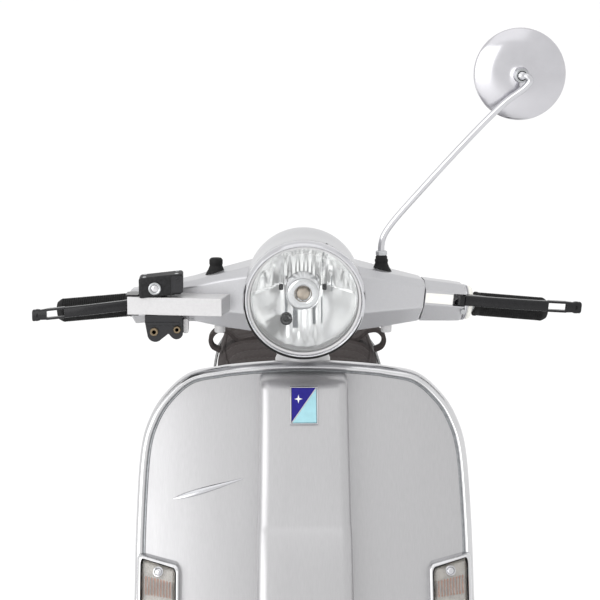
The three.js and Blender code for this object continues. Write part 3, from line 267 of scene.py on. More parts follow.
def dress(node, mat, bevel=0.8, angle=32, segs=2):
    """A CAD node kept in its own shape, with softened edges and its own material."""
    obj = NODES[node]
    obj.data.materials.clear()
    obj.data.materials.append(mat)
    obj.data.shade_smooth()
    weld = obj.modifiers.new("weld", "WELD")
    weld.merge_threshold = 1e-5
    m = obj.modifiers.new("edges", "BEVEL")
    m.width, m.segments, m.limit_method, m.angle_limit = bevel * MM, segs, "ANGLE", rad(angle)
    m.harden_normals = True
    return obj


# ---------------------------------------------------------------- materials
def material(name, color, metal=0.0, rough=0.5, **k):
    """Procedural finish. tone, streak, bump and dirt add what the real surface shows; scale is per metre."""
    mat = bpy.data.materials.new(name)
    mat.use_nodes = True
    nodes, link = mat.node_tree.nodes, mat.node_tree.links.new
    shader = nodes["Principled BSDF"]
    for socket, key in (("Coat Weight", "coat"), ("Coat Roughness", "coat_rough"), ("Transmission Weight", "glass"),
            ("IOR", "ior")):
        if key in k:
            shader.inputs[socket].default_value = k[key]
    shader.inputs["Metallic"].default_value = metal
    place = nodes.new("ShaderNodeTexCoord").outputs["Object"]

    def noise(scale, detail=4.0, stretch=None):
        tex = nodes.new("ShaderNodeTexNoise")
        tex.inputs["Scale"].default_value = scale
        tex.inputs["Detail"].default_value = detail
        source = place
        if stretch:
            mapping = nodes.new("ShaderNodeMapping")
            mapping.inputs["Scale"].default_value = stretch
            link(place, mapping.inputs["Vector"])
            source = mapping.outputs["Vector"]
        link(source, tex.inputs["Vector"])
        return tex.outputs["Fac"]

    def ramp(fac, stops):
        node = nodes.new("ShaderNodeValToRGB")
        e = node.color_ramp.elements
        while len(e) < len(stops):
            e.new(0.5)
        for item, (at, c) in zip(e, stops):
            item.position, item.color = at, (*c, 1)
        link(fac, node.inputs["Fac"])
        return node.outputs["Color"]

    tone = k.get("tone", 0.06)
    dark = [max(0.0, c * (1 - tone)) for c in color]
    light = [min(1.0, c * (1 + tone)) for c in color]
    stretch = k.get("streak")
    base = ramp(noise(k.get("scale", 60), 5, stretch), [(0.35, dark), (0.65, light)])
    if k.get("dirt"):
        spots = ramp(noise(9, 8), [(0.48, (0, 0, 0)), (0.72, (1, 1, 1))])
        mix = nodes.new("ShaderNodeMix")
        mix.data_type = "RGBA"
        mix.inputs["B"].default_value = (*k.get("dirt_color", (0.12, 0.09, 0.06)), 1)
        scaled = nodes.new("ShaderNodeMath")
        scaled.operation = "MULTIPLY"
        scaled.inputs[1].default_value = k["dirt"]
        link(spots, scaled.inputs[0])
        link(scaled.outputs[0], mix.inputs["Factor"])
        link(base, mix.inputs["A"])
        base = mix.outputs["Result"]
    link(base, shader.inputs["Base Color"])
    spread = k.get("rough_spread", 0.06)
    r0, r1 = max(0.0, rough - spread), min(1.0, rough + spread)
    link(ramp(noise(k.get("rough_scale", 25), 3, stretch), [(0.3, (r0,) * 3), (0.7, (r1,) * 3)]),
        shader.inputs["Roughness"])
    height = None
    kind = k.get("pattern")
    if kind == "cells":
        cells = nodes.new("ShaderNodeTexVoronoi")
        cells.feature = "DISTANCE_TO_EDGE"
        cells.inputs["Scale"].default_value = k.get("pattern_scale", 500)
        link(place, cells.inputs["Vector"])
        height = cells.outputs["Distance"]
    elif kind == "waves":
        waves = nodes.new("ShaderNodeTexWave")
        waves.bands_direction = "X"
        waves.inputs["Scale"].default_value = k.get("pattern_scale", 200)
        link(place, waves.inputs["Vector"])
        height = waves.outputs["Fac"]
    else:
        height = noise(k.get("pattern_scale", 900), 3, stretch)
    bump = nodes.new("ShaderNodeBump")
    bump.inputs["Strength"].default_value = k.get("bump", 0.08)
    bump.inputs["Distance"].default_value = k.get("depth", 0.0003)
    link(height, bump.inputs["Height"])
    link(bump.outputs["Normal"], shader.inputs["Normal"])
    return mat


PAINT = material("satin_silver_paint", (0.49, 0.49, 0.505), 0.75, 0.34, scale=1500, tone=0.07, coat=0.25,
    coat_rough=0.25, pattern_scale=2200, bump=0.05, rough_scale=6, rough_spread=0.04)
SHIELD_PAINT = material("brushed_silver_paint", (0.45, 0.447, 0.455), 0.8, 0.33, scale=160, tone=0.03,
    streak=(8, 1, 0.25), coat=0.2, coat_rough=0.3, pattern_scale=500, bump=0.05, rough_scale=30, rough_spread=0.04)
WHITE_PAINT = material("pale_silver_enamel", (0.54, 0.535, 0.54), 0.15, 0.36, scale=300, tone=0.03, coat=0.3,
    coat_rough=0.2, bump=0.04)
CHROME = material("bright_chrome", (0.56, 0.56, 0.58), 1.0, 0.12, tone=0.03, scale=30, bump=0.015, rough_spread=0.04)
TRIM = material("satin_edge_trim", (0.62, 0.62, 0.63), 1.0, 0.2, tone=0.04, scale=40, streak=(1, 1, 0.2), bump=0.03)
SATIN = material("mirror_back_satin", (0.55, 0.545, 0.57), 1.0, 0.2, tone=0.03, scale=30, bump=0.02)
BRUSHED = material("brushed_plate", (0.62, 0.615, 0.63), 1.0, 0.24, scale=90, tone=0.06, streak=(1, 1, 14), bump=0.05,
    rough_spread=0.08)
STEEL = material("plain_steel", (0.46, 0.47, 0.48), 1.0, 0.38, scale=80, tone=0.12, bump=0.06, dirt=0.35)
WHEEL_PAINT = material("wheel_grey", (0.42, 0.425, 0.435), 0.7, 0.36, scale=900, tone=0.06, coat=0.2, coat_rough=0.3,
    dirt=0.25, bump=0.04)
ALLOY = material("sand_cast_alloy", (0.50, 0.505, 0.51), 0.9, 0.5, scale=200, tone=0.12, pattern_scale=1400, bump=0.3,
    depth=0.0004, dirt=0.3)
BLACK = material("moulded_black", (0.018, 0.018, 0.019), 0.0, 0.55, ior=1.25, scale=300, tone=0.25,
    pattern_scale=1600, bump=0.16)
GLOSS_BLACK = material("gloss_black", (0.008, 0.008, 0.009), 0.0, 0.24, ior=1.3, scale=200, tone=0.2, coat=0.15,
    coat_rough=0.1, bump=0.03)
ANODISED = material("black_anodised", (0.014, 0.014, 0.016), 0.2, 0.36, scale=500, tone=0.2, pattern_scale=2500,
    bump=0.1)
RUBBER = material("soft_rubber", (0.014, 0.014, 0.014), 0.0, 0.66, ior=1.25, scale=240, tone=0.25, pattern_scale=1300,
    bump=0.18)
TYRE = material("tyre_rubber", (0.02, 0.02, 0.021), 0.0, 0.74, ior=1.25, scale=150, tone=0.25, pattern_scale=900,
    bump=0.25, dirt=0.3, dirt_color=(0.09, 0.085, 0.08))
VINYL = material("seat_vinyl", (0.052, 0.045, 0.044), 0.0, 0.8, ior=1.12, scale=220, tone=0.15, pattern="cells",
    pattern_scale=620, bump=0.35, depth=0.0004)
THREAD = material("seat_thread", (0.07, 0.062, 0.06), 0.0, 0.8, scale=900, tone=0.2, pattern="waves",
    pattern_scale=900, bump=0.4)
GLASS = material("lamp_glass", (0.97, 0.98, 0.98), 0.0, 0.02, glass=1.0, ior=1.33, tone=0.01, bump=0.0,
    rough_spread=0.01)
CLEAR = material("clear_lens", (0.93, 0.92, 0.90), 0.0, 0.06, glass=0.85, ior=1.35, tone=0.02, bump=0.02)
LENS_BACK = material("lens_plate", (0.50, 0.47, 0.43), 0.0, 0.35, scale=120, tone=0.12, bump=0.1)
AMBER = material("amber_bulb", (0.42, 0.15, 0.06), 0.0, 0.3, scale=200, tone=0.2, bump=0.05)
RED = material("red_lens", (0.42, 0.012, 0.014), 0.0, 0.12, scale=60, tone=0.15, coat=0.6, coat_rough=0.05,
    pattern="waves", pattern_scale=60, bump=0.1)
REFLECTOR = material("lamp_mirror", (1.0, 1.0, 0.99), 0.72, 0.16, tone=0.02, bump=0.01, rough_spread=0.03)
lamp_glow = REFLECTOR.node_tree.nodes["Principled BSDF"].inputs
# A weak glow makes up for the bowl rendering darker than in the photo. A real reflector emits nothing.
LAMP_GLOW = 0.12
lamp_glow["Emission Color"].default_value = (1, 1, 1, 1)
lamp_glow["Emission Strength"].default_value = LAMP_GLOW
BULB = material("bulb_glass", (0.50, 0.42, 0.34), 0.2, 0.2, scale=80, tone=0.25, bump=0.02)
NAVY = material("navy_enamel", (0.02, 0.016, 0.2), 0.0, 0.3, ior=1.2, scale=120, tone=0.08, coat=0.1, coat_rough=0.08,
    bump=0.02)
SKY = material("pale_blue_enamel", (0.31, 0.56, 0.62), 0.0, 0.3, scale=120, tone=0.04, coat=0.1, coat_rough=0.08,
    bump=0.02)
BRASS = material("brass_bolt", (0.22, 0.17, 0.11), 1.0, 0.36, scale=400, tone=0.15, bump=0.06)
EXHAUST = material("dull_exhaust", (0.20, 0.19, 0.18), 0.8, 0.55, scale=120, tone=0.25, pattern_scale=700, bump=0.25,
    dirt=0.7, dirt_color=(0.16, 0.08, 0.04))
DIAL = material("dial_black", (0.02, 0.02, 0.022), 0.0, 0.4, tone=0.1, bump=0.03)
DIAL_WHITE = material("dial_white", (0.82, 0.82, 0.80), 0.0, 0.5, tone=0.03, bump=0.02)
CREAM = material("cream_enamel", (0.86, 0.85, 0.80), 0.05, 0.32, scale=200, tone=0.03, coat=0.3, coat_rough=0.15,
    bump=0.03)
DISC = material("brake_disc", (0.42, 0.42, 0.43), 1.0, 0.28, scale=60, tone=0.1, pattern="waves", pattern_scale=180,
    bump=0.04)
SPRING = material("spring_coil", (0.30, 0.31, 0.32), 0.8, 0.35, scale=200, tone=0.12, bump=0.06)
MIRROR_GLASS = material("mirror_glass", (0.86, 0.88, 0.89), 1.0, 0.02, tone=0.01, bump=0.0, rough_spread=0.01)

# The slot that each finish has unless a call says another one.
SLOT_OF = {mat.name: slot for slot, finishes in (("paint_silver", (SHIELD_PAINT, PAINT)), ("trim_bright", (TRIM,)),
    ("steel", (SPRING, STEEL, BRASS, DISC, WHEEL_PAINT)), ("chrome", (CHROME,)), ("enamel", (NAVY, SKY)),
    ("black_plastic", (DIAL_WHITE, BLACK, DIAL)), ("rubber", (RUBBER,)), ("headset_paint", (WHITE_PAINT,)),
    ("lamp_glass", (GLASS,)), ("mirror_bowl", (REFLECTOR, BULB, MIRROR_GLASS)),
    ("black_metal", (GLOSS_BLACK, ANODISED, EXHAUST)), ("red_lens", (RED,)),
    ("clear_lens", (BRUSHED, LENS_BACK, CLEAR, AMBER)), ("plated_alloy", (CREAM, SATIN)), ("vinyl", (VINYL, THREAD)),
    ("alloy", (ALLOY,)), ("tyre", (TYRE,))) for mat in finishes}


# ---------------------------------------------------------------- leg shield, trim and horn cover
LEAN = math.tan(rad(27))
SETBACK, SHIELD_HALF, FLOOR_Z = 22, 232, 285
KNEE = curve_points([(-315 - (900 - z) * LEAN, z) for z in (560, 520)] + [(-514, 490), (-501, 462), (-470, 430),
    (-442, 400), (-408, 350), (-375, 300), (-349, 284)], 120)
SIDE = [(110, 898.5), (158, 888.5), (191, 863), (213, 831), (226, 787), (231, 700), (232, 613), (232, 560),
    (226, 480), (215, 400), (205, 330), (202, 285)]
SIDE_CURVE = curve_points(SIDE, 160, power=0)
SIDE_TANGENT = np.gradient(SIDE_CURVE, axis=0)
SIDE_TANGENT /= np.linalg.norm(SIDE_TANGENT, axis=1)[:, None]
CROWN = 6.5


def shield_y(z):
    if z >= 520:
        return -315 - (900 - z) * LEAN
    return float(np.interp(z, KNEE[::-1, 1], KNEE[::-1, 0]))


def on_shield(x, z, out=0.0):
    return P(x, shield_y(z) + SETBACK * abs(x / SHIELD_HALF) ** 3 - out, z)


def edge_at(i, inset):
    p, t = SIDE_CURVE[i], SIDE_TANGENT[i]
    return p[0] + t[1] * inset, p[1] - t[0] * inset


def shield_grid(out):
    rows, cols = 80, 40
    grid = []
    for i in range(rows + 1):
        x, z = edge_at(i * 2, 12.4)
        crown = CROWN * max(0, 1 - i / rows * 4)
        grid.append([on_shield(x * u, z + crown * (1 - u * u), -out) for u in np.linspace(-1, 1, cols + 1)])
    return grid


make("leg_shield_panel", skin(shield_grid(0), shield_grid(2.6)), SHIELD_PAINT, "frame", replaces=["leg_shield"])

# Edge of the shield, from the lower left corner over the top to the lower right: (side, index or x).
RIM_PATH = [(-1, i) for i in range(160, -1, -2)] + [(0, x) for x in np.linspace(-100, 100, 21)]
RIM_PATH += [(1, i) for i in range(0, 161, 2)]


def along_edge(profile):
    rows = []
    for side, k in RIM_PATH:
        row = []
        for inset, back in profile:
            if side == 0:
                x, z = k, 898.5 + CROWN * (1 - (k / 110) ** 2) - inset
            else:
                x, z = edge_at(k, inset)
                x *= side
            row.append(on_shield(x, z) + P(0, back, 0))
        rows.append(row)
    return loft(rows)


ROUND_EDGE = [(5.8 - 5.8 * math.cos(a), 1 - 8.0 * math.sin(a)) for a in np.linspace(0, math.pi, 15)]
make("shield_edge_trim", along_edge(ROUND_EDGE + [(11.6, 6), (0, 6)]), TRIM, "frame", replaces=["leg_shield_trim"])
# A thin dark grey band just inside the trim, along the whole edge.
make("shield_edge_dark_line", along_edge([(11.4, 2), (11.4, -1.4), (13.2, -1.6), (14.2, -0.4), (14.2, 2)]), SPRING,
    "frame", slot="rubber")

HORN_ROWS = [(890.5, 52, 44), (889.6, 56, 49), (887.5, 59.5, 54), (884, 61, 57), (878, 61, 57.5), (860, 61, 58),
    (780, 62, 58), (712, 63, 58), (705, 63.6, 59), (699, 64, 60.6), (640, 65, 60), (560, 66, 55), (552, 64, 46)]


def horn_section(row, inset, back):
    z, w, d = row
    half, depth, r = w - inset, d - inset, 15 - inset
    side = [(half, -back), (half, depth * 0.4)]
    side += [(half - r + r * math.cos(a), depth - r + r * math.sin(a)) for a in np.linspace(0, math.pi / 2, 9)]
    side.append((half * 0.4, depth + 0.5))
    return [P(x, shield_y(z) - out, z) for x, out in side + [(-x, out) for x, out in side[::-1]]]


cover = make("horn_cover_shell", loft([horn_section(r, 0, -0.7) for r in HORN_ROWS]), SHIELD_PAINT, "frame",
    replaces=["horn_cover"], angle=50)
carve(cover, loft([horn_section((z + (-3 if i < 4 else 3 if i > 10 else 0), w, d), 2.2, 8) for i,
    (z, w, d) in enumerate(HORN_ROWS)]))

# Badge: a bright border round two enamel fields that meet on the diagonal, with no lettering.
BADGE_FACE, HALF, LOW, HIGH = 58.9, 19.0, 836.0, 884.0


def on_cover(x, z, out):
    return P(x, shield_y(z) - out, z)


def cover_plate(outline, low, high, inset=0.0):
    c = np.mean(outline, axis=0)
    small = [np.array(p) + (c - p) * inset for p in outline]
    return loft([[on_cover(*p, low) for p in outline], [on_cover(*p, high - 0.4) for p in outline],
        [on_cover(*p, high) for p in small]])


corners = [(-HALF, LOW), (HALF, LOW), (HALF, HIGH), (-HALF, HIGH)]
ring = [[on_cover(x * s, (z - 860) * t + 860, out) for x, z in corners] for s, t,
    out in ((1, 1, BADGE_FACE), (1, 1, 61.4), (0.975, 0.98, 61.9), (0.92, 0.935, 61.9), (0.9, 0.92, 60.9),
    (0.9, 0.92, BADGE_FACE))]
make("badge_border", loft(ring, closed=True), CHROME, "frame", replaces=["front_badge"])
IN_X, IN_LOW, IN_HIGH = HALF * 0.89, 860 - 24 * 0.91, 860 + 24 * 0.91
make("badge_field_dark", cover_plate([(-IN_X, IN_LOW + 0.8), (IN_X - 0.6, IN_HIGH), (-IN_X, IN_HIGH)], BADGE_FACE,
    61.2, 0.02), NAVY, "frame")
make("badge_field_pale", cover_plate([(-IN_X + 0.6, IN_LOW), (IN_X, IN_LOW), (IN_X, IN_HIGH - 0.8)], BADGE_FACE, 61.2,
    0.02), SKY, "frame")
make("badge_divider", cover_plate([(-IN_X, IN_LOW), (-IN_X + 0.9, IN_LOW), (IN_X, IN_HIGH - 0.9), (IN_X, IN_HIGH),
    (IN_X - 0.9, IN_HIGH), (-IN_X, IN_LOW + 0.9)], BADGE_FACE, 61.5), CHROME, "frame")
star = []
for i in range(8):
    r = 5.6 if i % 2 == 0 else 1.7
    star.append((-7.5 + r * math.sin(math.pi * i / 4), 868 + r * math.cos(math.pi * i / 4)))
make("badge_star", cover_plate(star, BADGE_FACE, 61.7, 0.1), DIAL_WHITE, "frame", slot="enamel")

# Plain slim dart on the left of the shield, with no lettering.
dart = []
for s in np.linspace(0, 1, 15):
    x, z = -180 + 96 * s, 728 + 27 * s
    w, h = 0.6 + 3.2 * math.sin(math.pi * s ** 0.7), 0.6 + 1.6 * math.sin(math.pi * s ** 0.7)
    dart.append([on_shield(x - 0.27 * b, z + b, o) for b,
        o in ((-w, 0.1), (-w * 0.7, h * 0.8), (0, h), (w * 0.7, h * 0.8), (w, 0.1))])
make("shield_dart", loft(dart), CHROME, "frame")


# ---------------------------------------------------------------- front indicators
def indicator_point(side, u, v, out, grow=0.0):
    """u runs 0..1 from the inner to the outer edge, v 0..1 from the bottom up."""
    x = 170 - grow + (58 + 2 * grow) * u
    low = 551 - 6 * u - grow
    high = 650 + 11 * u + grow
    return on_shield(side * x, low + (high - low) * v, out)


for side, name in SIDES:
    def outline(grow, out, r=0.08, side=side):
        pts = round_rect(0, 1, 0, 1, r, 4)
        return [indicator_point(side, u, v, out, grow) for u, v in pts]

    rings = [outline(0, 0.5), outline(0, 11), outline(-1.2, 14), outline(-2.6, 15.2), outline(-4.2, 15.2),
        outline(-4.8, 14), outline(-4.8, 7), outline(-4.8, 0.5)]
    make("indicator_bezel_" + name, loft(rings, closed=True), TRIM, "frame", replaces=["front_indicator_" + name],
        angle=28)
    # Painted shade: a black ring in the gap between the bezel and the lens stands in for the shade down in that gap.
    make("indicator_gap_shade_" + name, loft([outline(-4.9, 6), outline(-4.9, 12), outline(-6.2, 12.4), outline(-6.2, 6)],
        closed=True), BLACK, "frame")
    plate = [[indicator_point(side, u, v, 3.2, -6.0) for u in np.linspace(0, 1, 9)] for v in np.linspace(0, 1, 9)]
    back = [[indicator_point(side, u, v, 1.4, -6.0) for u in np.linspace(0, 1, 9)] for v in np.linspace(0, 1, 9)]
    make("indicator_plate_" + name, skin(plate, back), LENS_BACK, "frame")

    def lens_out(u, v):
        edge = min(u, 1 - u, v * 1.6, (1 - v) * 1.6)
        lift = 13.2 * min(1, (edge / 0.07)) ** 0.5 if edge < 0.07 else 13.2
        ribs = 0.55 * math.cos(2 * math.pi * u * 11) if 0.1 < u < 0.9 and 0.60 < v < 0.78 else 0
        in_grid = v <= 0.58 and 0.06 < u < 0.94
        grid = 0.3 * math.cos(2 * math.pi * u * 16) * math.cos(2 * math.pi * v * 26) if in_grid else 0
        return max(lift, 5.0) + ribs + grid

    us, vs = np.linspace(0, 1, 97), np.linspace(0, 1, 121)
    front = [[indicator_point(side, u, v, lens_out(u, v), -6.4) for u in us] for v in vs]
    rear = [[indicator_point(side, u, v, 4.4, -6.4) for u in us] for v in vs]
    make("indicator_lens_" + name, skin(front, rear), CLEAR, "frame")
    ribs = []
    for k in range(9):
        u = 0.14 + 0.09 * k
        ribs.append(loft([[indicator_point(side, u + a, v, o, -6.0) for a,
            o in ((-0.028, 9.6), (-0.019, 11.2), (0.019, 11.2), (0.028, 9.6))] for v in np.linspace(0.58, 0.80, 4)]))
    make("indicator_ribs_" + name, ribs, AMBER, "frame")
    hole = on_shield(side * 199, 640, 13.0)
    face = unit(np.cross(on_shield(side * 205, 640) - on_shield(side * 195, 640),
        on_shield(side * 200, 645) - on_shield(side * 200, 635)))
    face = face if face[1] < 0 else -face
    make("indicator_screw_" + name, [dome(hole, face, 5.2, 2.2),
        lathe([(5.4, -1), (7.0, -1), (7.0, 1.0), (5.4, 1.4)], hole, face, 32)], CHROME, "frame")

# ---------------------------------------------------------------- floor, runners and pedal
HALF_FLOOR, TUNNEL, TUNNEL_H, FLOOR_T, FRONT, REAR = 212, 58, 52, 3, -346, 126
RUNNER_ENDS = (-330, 108)


def arc(cx, cz, r, a0, a1, n=6):
    return [(cx + r * math.cos(rad(a)), cz + r * math.sin(rad(a))) for a in np.linspace(a0, a1, n)]


upper = [(-HALF_FLOOR, FLOOR_Z - 28)] + arc(-HALF_FLOOR + 7, FLOOR_Z - 7, 7, 180, 90)
upper += arc(-TUNNEL - 16, FLOOR_Z + 14, 14, 270, 350) + arc(-TUNNEL + 20, FLOOR_Z + TUNNEL_H - 20, 20, 172, 90)
full = upper + [(-x, z) for x, z in upper[::-1]]
under = [(x - math.copysign(FLOOR_T, x), z - (FLOOR_T if z > FLOOR_Z - 20 else 0)) for x, z in full][::-1]
floor_pan = make("floor_pan", prism("y", full + under, FRONT, REAR), PAINT, "frame", replaces=["floorboard"],
    angle=24)
carve(floor_pan, block((-110, -80), (-190, -60), (FLOOR_Z - 20, FLOOR_Z + 10)))
rubber_runs, metal_runs, studs = [], [], []
for x in (-188, -160, -132, 132, 160, 188):
    z = FLOOR_Z
    y0, y1 = RUNNER_ENDS
    metal_runs.append(prism("y", [(x - 8, z), (x - 7, z + 3.2), (x - 4.6, z + 3.4), (x - 4.6, z + 1),
        (x + 4.6, z + 1), (x + 4.6, z + 3.4), (x + 7, z + 3.2), (x + 8, z)], y0, y1))
    rubber_runs.append(prism("y", [(x - 4.4, z + 1.2)] + arc(x, z + 3.2, 4.4, 160, 20, 7) + [(x + 4.4, z + 1.2)],
        y0 + 3, y1 - 3))
    for y in (y0 - 1, y1 + 1):
        metal_runs.append(loft([[P(x + a * w, y + b * d, z + h) for a, b in CORNERS] for w, d,
            h in ((9, 7, 0), (7.5, 5, 5))]))
        studs.append(dome(P(x, y, z + 4.8), Z, 3, 1.4, 16))
make("floor_runner_rails", metal_runs + studs, TRIM, "frame", bevel=0.5)
make("floor_runner_rubbers", rubber_runs, RUBBER, "frame")
mat_rows = []
for y in np.linspace(-330, 110, 221):
    lift = 1.6 + 0.7 * (1 if int((y + 330) / 4) % 2 else -1)
    mat_rows.append([P(x, y, FLOOR_Z + TUNNEL_H - 0.2) for x in (-34, 34)] + [P(x, y, FLOOR_Z + TUNNEL_H + h) for x,
        h in ((34, 0.8), (32, lift), (-32, lift), (-34, 0.8))])
make("tunnel_mat", loft(mat_rows), RUBBER, "frame", angle=20)
dress("brake_pedal", ANODISED, 1.5)
pad = []
for i in range(7):
    s = (i + 0.5) / 7
    y, z = -192 + 52 * s, 317 + 26 * s
    pad.append(loft([[P(x, y - 2.4, z + 1), P(x, y + 2.2, z + 3.2), P(x, y + 1.2, z + 5.4), P(x, y - 3.2, z + 3.6)]
        for x in (-119, -71)]))
make("brake_pedal_treads", pad, RUBBER, "pedal", bevel=0.5)


# ---------------------------------------------------------------- headset
AXIS_Y, AXIS_Z = -272, 906
LAMP = P(0, -420, 1010)
LAMP_BACK = P(0, math.cos(rad(9)), math.sin(rad(9)))
LAMP_UP = P(0, -math.sin(rad(9)), math.cos(rad(9)))


def axis_point(z):
    return P(0, AXIS_Y - (AXIS_Z - z) * LEAN, z)


def bar_point(x):
    return P(x, -322.8 + 0.12 * abs(x), 1007.5 - 0.105 * abs(x))


def lamp_ring(s, r, n=72):
    return [LAMP + LAMP_BACK * s + X * (r * math.cos(t)) + LAMP_UP * (r * math.sin(t))
        for t in np.linspace(0, 2 * math.pi, n, endpoint=False)]


def oval(y, rx, rz, z, n=72):
    return [P(rx * math.cos(t), y, z + rz * math.sin(t)) for t in np.linspace(0, 2 * math.pi, n, endpoint=False)]


cowl = smooth_rows([lamp_ring(0.6, 79.6), lamp_ring(14, 80.6), oval(-385, 80, 80, 1013), oval(-330, 78, 78, 1018),
    oval(-275, 71, 69, 1013), oval(-220, 58, 50, 1004), oval(-187, 44, 32, 998), oval(-177, 26, 16, 996)], 56)
SPEEDO, SPEEDO_AXIS = P(0, -226, 1054), unit(P(0, 0.52, 0.854))
KEY, KEY_AXIS = P(46, -186, 1010), unit(P(0.25, 0.86, 0.44))
headset = make("headset_cowl", loft(cowl), PAINT, "steering", slot="headset_paint", replaces=["headset"], angle=50)
carve(headset, rod(LAMP - LAMP_BACK * 20, LAMP + LAMP_BACK * 78, 77, 71.5, 72),
    rod(SPEEDO - SPEEDO_AXIS * 34, SPEEDO + SPEEDO_AXIS * 40, 40.6, segs=64),
    rod(KEY - KEY_AXIS * 24, KEY + KEY_AXIS * 40, 8.4))
make("speedometer_collar", lathe([(40.8, -30), (46, -30), (48.6, -8), (47.6, 0), (45.8, 2.2), (44.6, 2.0), (44.6, -1),
    (40.8, -1)], SPEEDO, SPEEDO_AXIS, 72), PAINT, "steering", slot="headset_paint", angle=50)


def arm_section(rows):
    front, rear, top, face_top, face_low, low = rows
    a, b = 16, 22
    return [(front, face_low), (front, face_top), (front + a, top), (rear - a, top), (rear, face_top),
        (rear, face_low), (rear - b, low), (front + b, low)]


def arm(side, stations, end):
    """Faceted arm through the stations [x, section], cut square to the bar at end."""
    start = bar_point(end)
    d = unit(bar_point(end + 1) - start)
    rows = []
    for i, (x, s) in enumerate(stations):
        row = []
        for y, z in arm_section(s):
            at = x
            if i == len(stations) - 1:
                at = start[0] - (d[1] * (y - start[1]) + d[2] * (z - start[2])) / d[0]
            row.append(P(side * at, y, z))
        rows.append(row)
    return loft(rows)


ARM = [[0, (-354, -250, 1050, 1036, 976, 946)], [60, (-352, -254, 1046, 1033, 978, 949)],
    [116, (-345, -261, 1032, 1024, 982, 956)]]
LEFT_END = [163, (-336, -266.5, 1020.5, 1014.8, 984.3, 962)]
RIGHT_ENDS = [[150, (-338, -264, 1022, 1016, 983, 962)], [200, (-330, -272, 1012, 1006, 974, 960)],
    [236, (-327, -275, 1006, 1000, 971, 957)]]
make("headset_arm_left", arm(1, ARM + [LEFT_END], 163), PAINT, "steering", slot="headset_paint", bevel=2.6, segs=3,
    angle=12)
make("headset_arm_right", arm(-1, ARM + RIGHT_ENDS, 236), PAINT, "steering", slot="headset_paint", bevel=2.6, segs=3,
    angle=12)
make("headset_neck", lathe([(0, 0), (39, 0), (40.5, 4), (46.5, 62), (46.5, 74), (0, 74)], axis_point(910),
    axis_point(975) - axis_point(910), 64, closed=False), WHITE_PAINT, "steering")
make("column_fairing_top", lathe([(24, 0), (38, 0), (38.6, 2), (38.6, 24), (37.4, 27), (24, 27)], axis_point(880),
    axis_point(975) - axis_point(910), 64), WHITE_PAINT, "frame", angle=50)
lever_block = [prism("z", [(-206, -371), (-112, -386), (-100, -340), (-140, -318), (-206, -318)], 982, 1006)]
for z0, z1 in ((982, 985.4), (1003.1, 1006)):
    lever_block.append(prism("z", [(-228, -372), (-204, -370.6), (-204, -318), (-228, -318)], z0, z1))
make("brake_lever_mount", lever_block, WHITE_PAINT, "steering", bevel=1.3, angle=24)
for side, name in SIDES:
    make("headset_lug_" + name, [rod(P(side * 116, -312, 947), P(side * 116, -312, 976), 7.4, 8.2),
        lathe([(3.4, -1), (6.6, -1), (6.8, 0.4), (3.4, 0.4)], P(side * 116, -312, 947), Z, 24)], WHITE_PAINT,
        "steering")
    base = P(109 if side > 0 else -121, -305, 0)
    if side > 0:
        boot = [(5.2, 1022), (16.5, 1022), (16, 1027), (13.6, 1032), (10.8, 1037), (9.2, 1041), (8.7, 1043),
            (9.3, 1044.5), (9.3, 1047), (8.2, 1048), (8.2, 1051), (6.8, 1053), (5.0, 1053)]
    else:
        boot = [(0, 1019), (16.5, 1019), (16, 1024), (13.6, 1029), (10.8, 1034), (9.2, 1038), (8.7, 1040),
            (9.4, 1041.5), (9.4, 1047), (7.6, 1049.5), (0, 1050)]
    make("stalk_boot_" + name, lathe(boot, base, Z, 48, closed=side > 0), RUBBER, "steering", angle=60)
bar = [sweep([bar_point(s * x) for x in (120, 200, 270, 336)], 11, 32) for s in (1, -1)]
make("handlebar_tube", bar, STEEL, "steering")
chips = []
for a, s, r in ((62, 4, 2.2), (68, 7, 1.6), (41, 5, 2.0), (33, 8, 1.4), (27, 4, 1.6)):
    t = rad(a)
    at = LAMP + LAMP_BACK * (8 + s) + X * 80.9 * math.cos(t) + LAMP_UP * 80.9 * math.sin(t)
    chips.append(dome(at - unit(at - LAMP) * 0.6, unit(at - LAMP), r, 0.9, 9))
make("cowl_scuffs", chips, BLACK, "steering")

# ---------------------------------------------------------------- headlamp
make("lamp_rim", lathe([(76.5, -4), (76.9, -6.6), (78.2, -8.0), (80.2, -7.8), (82, -5.6), (82.9, -2), (82.9, 5),
    (81.6, 8), (81.2, 4), (81.2, 0.4), (76.5, 0.4)], LAMP, LAMP_BACK, 128), CHROME, "steering",
    replaces=["headlamp_rim"], angle=40)
make("lamp_gasket", lathe([(73.6, -1), (73.8, -4.6), (76.4, -5.2), (76.4, -0.6)], LAMP, LAMP_BACK, 128), WHITE_PAINT,
    "steering", slot="rubber")
# Painted shadow: a black arc on the front of the rim, round its lower half and thickest at the bottom, stands in for
# the shadow line between the rim and the cowl.
shade = [LAMP + LAMP_BACK * -7.2 + X * (80.4 * math.cos(t)) + LAMP_UP * (80.4 * math.sin(t))
    for t in np.linspace(rad(165), rad(345), 70)]
make("lamp_rim_shadow_line", sweep(shade, [0.4 + 1.5 * math.sin(math.pi * t) ** 0.6 for t in np.linspace(0.01, 0.99, 70)],
    12), RUBBER, "steering")
outer = [(74 * math.sin(a) / math.sin(0.42), -15.2 + 12.2 * (1 - math.cos(a)) / (1 - math.cos(0.42)))
    for a in np.linspace(0, 0.42, 15)]
inner = [(r * 0.985, h + 2.4) for r, h in outer[::-1]]
make("lamp_lens", lathe(outer + [(74, -1.0)] + inner, LAMP, LAMP_BACK, 128, closed=False), GLASS, "steering",
    replaces=["headlamp_lens"], angle=60)


def bowl(u, v):
    """Point on the reflector: u sideways, v up, both -1..1 across the lamp's face."""
    r = min(1.0, math.hypot(u, v))
    return LAMP + X * u * 73 + LAMP_UP * v * 73 + LAMP_BACK * (1.6 + 58 * (1 - r ** 2) ** 0.62)


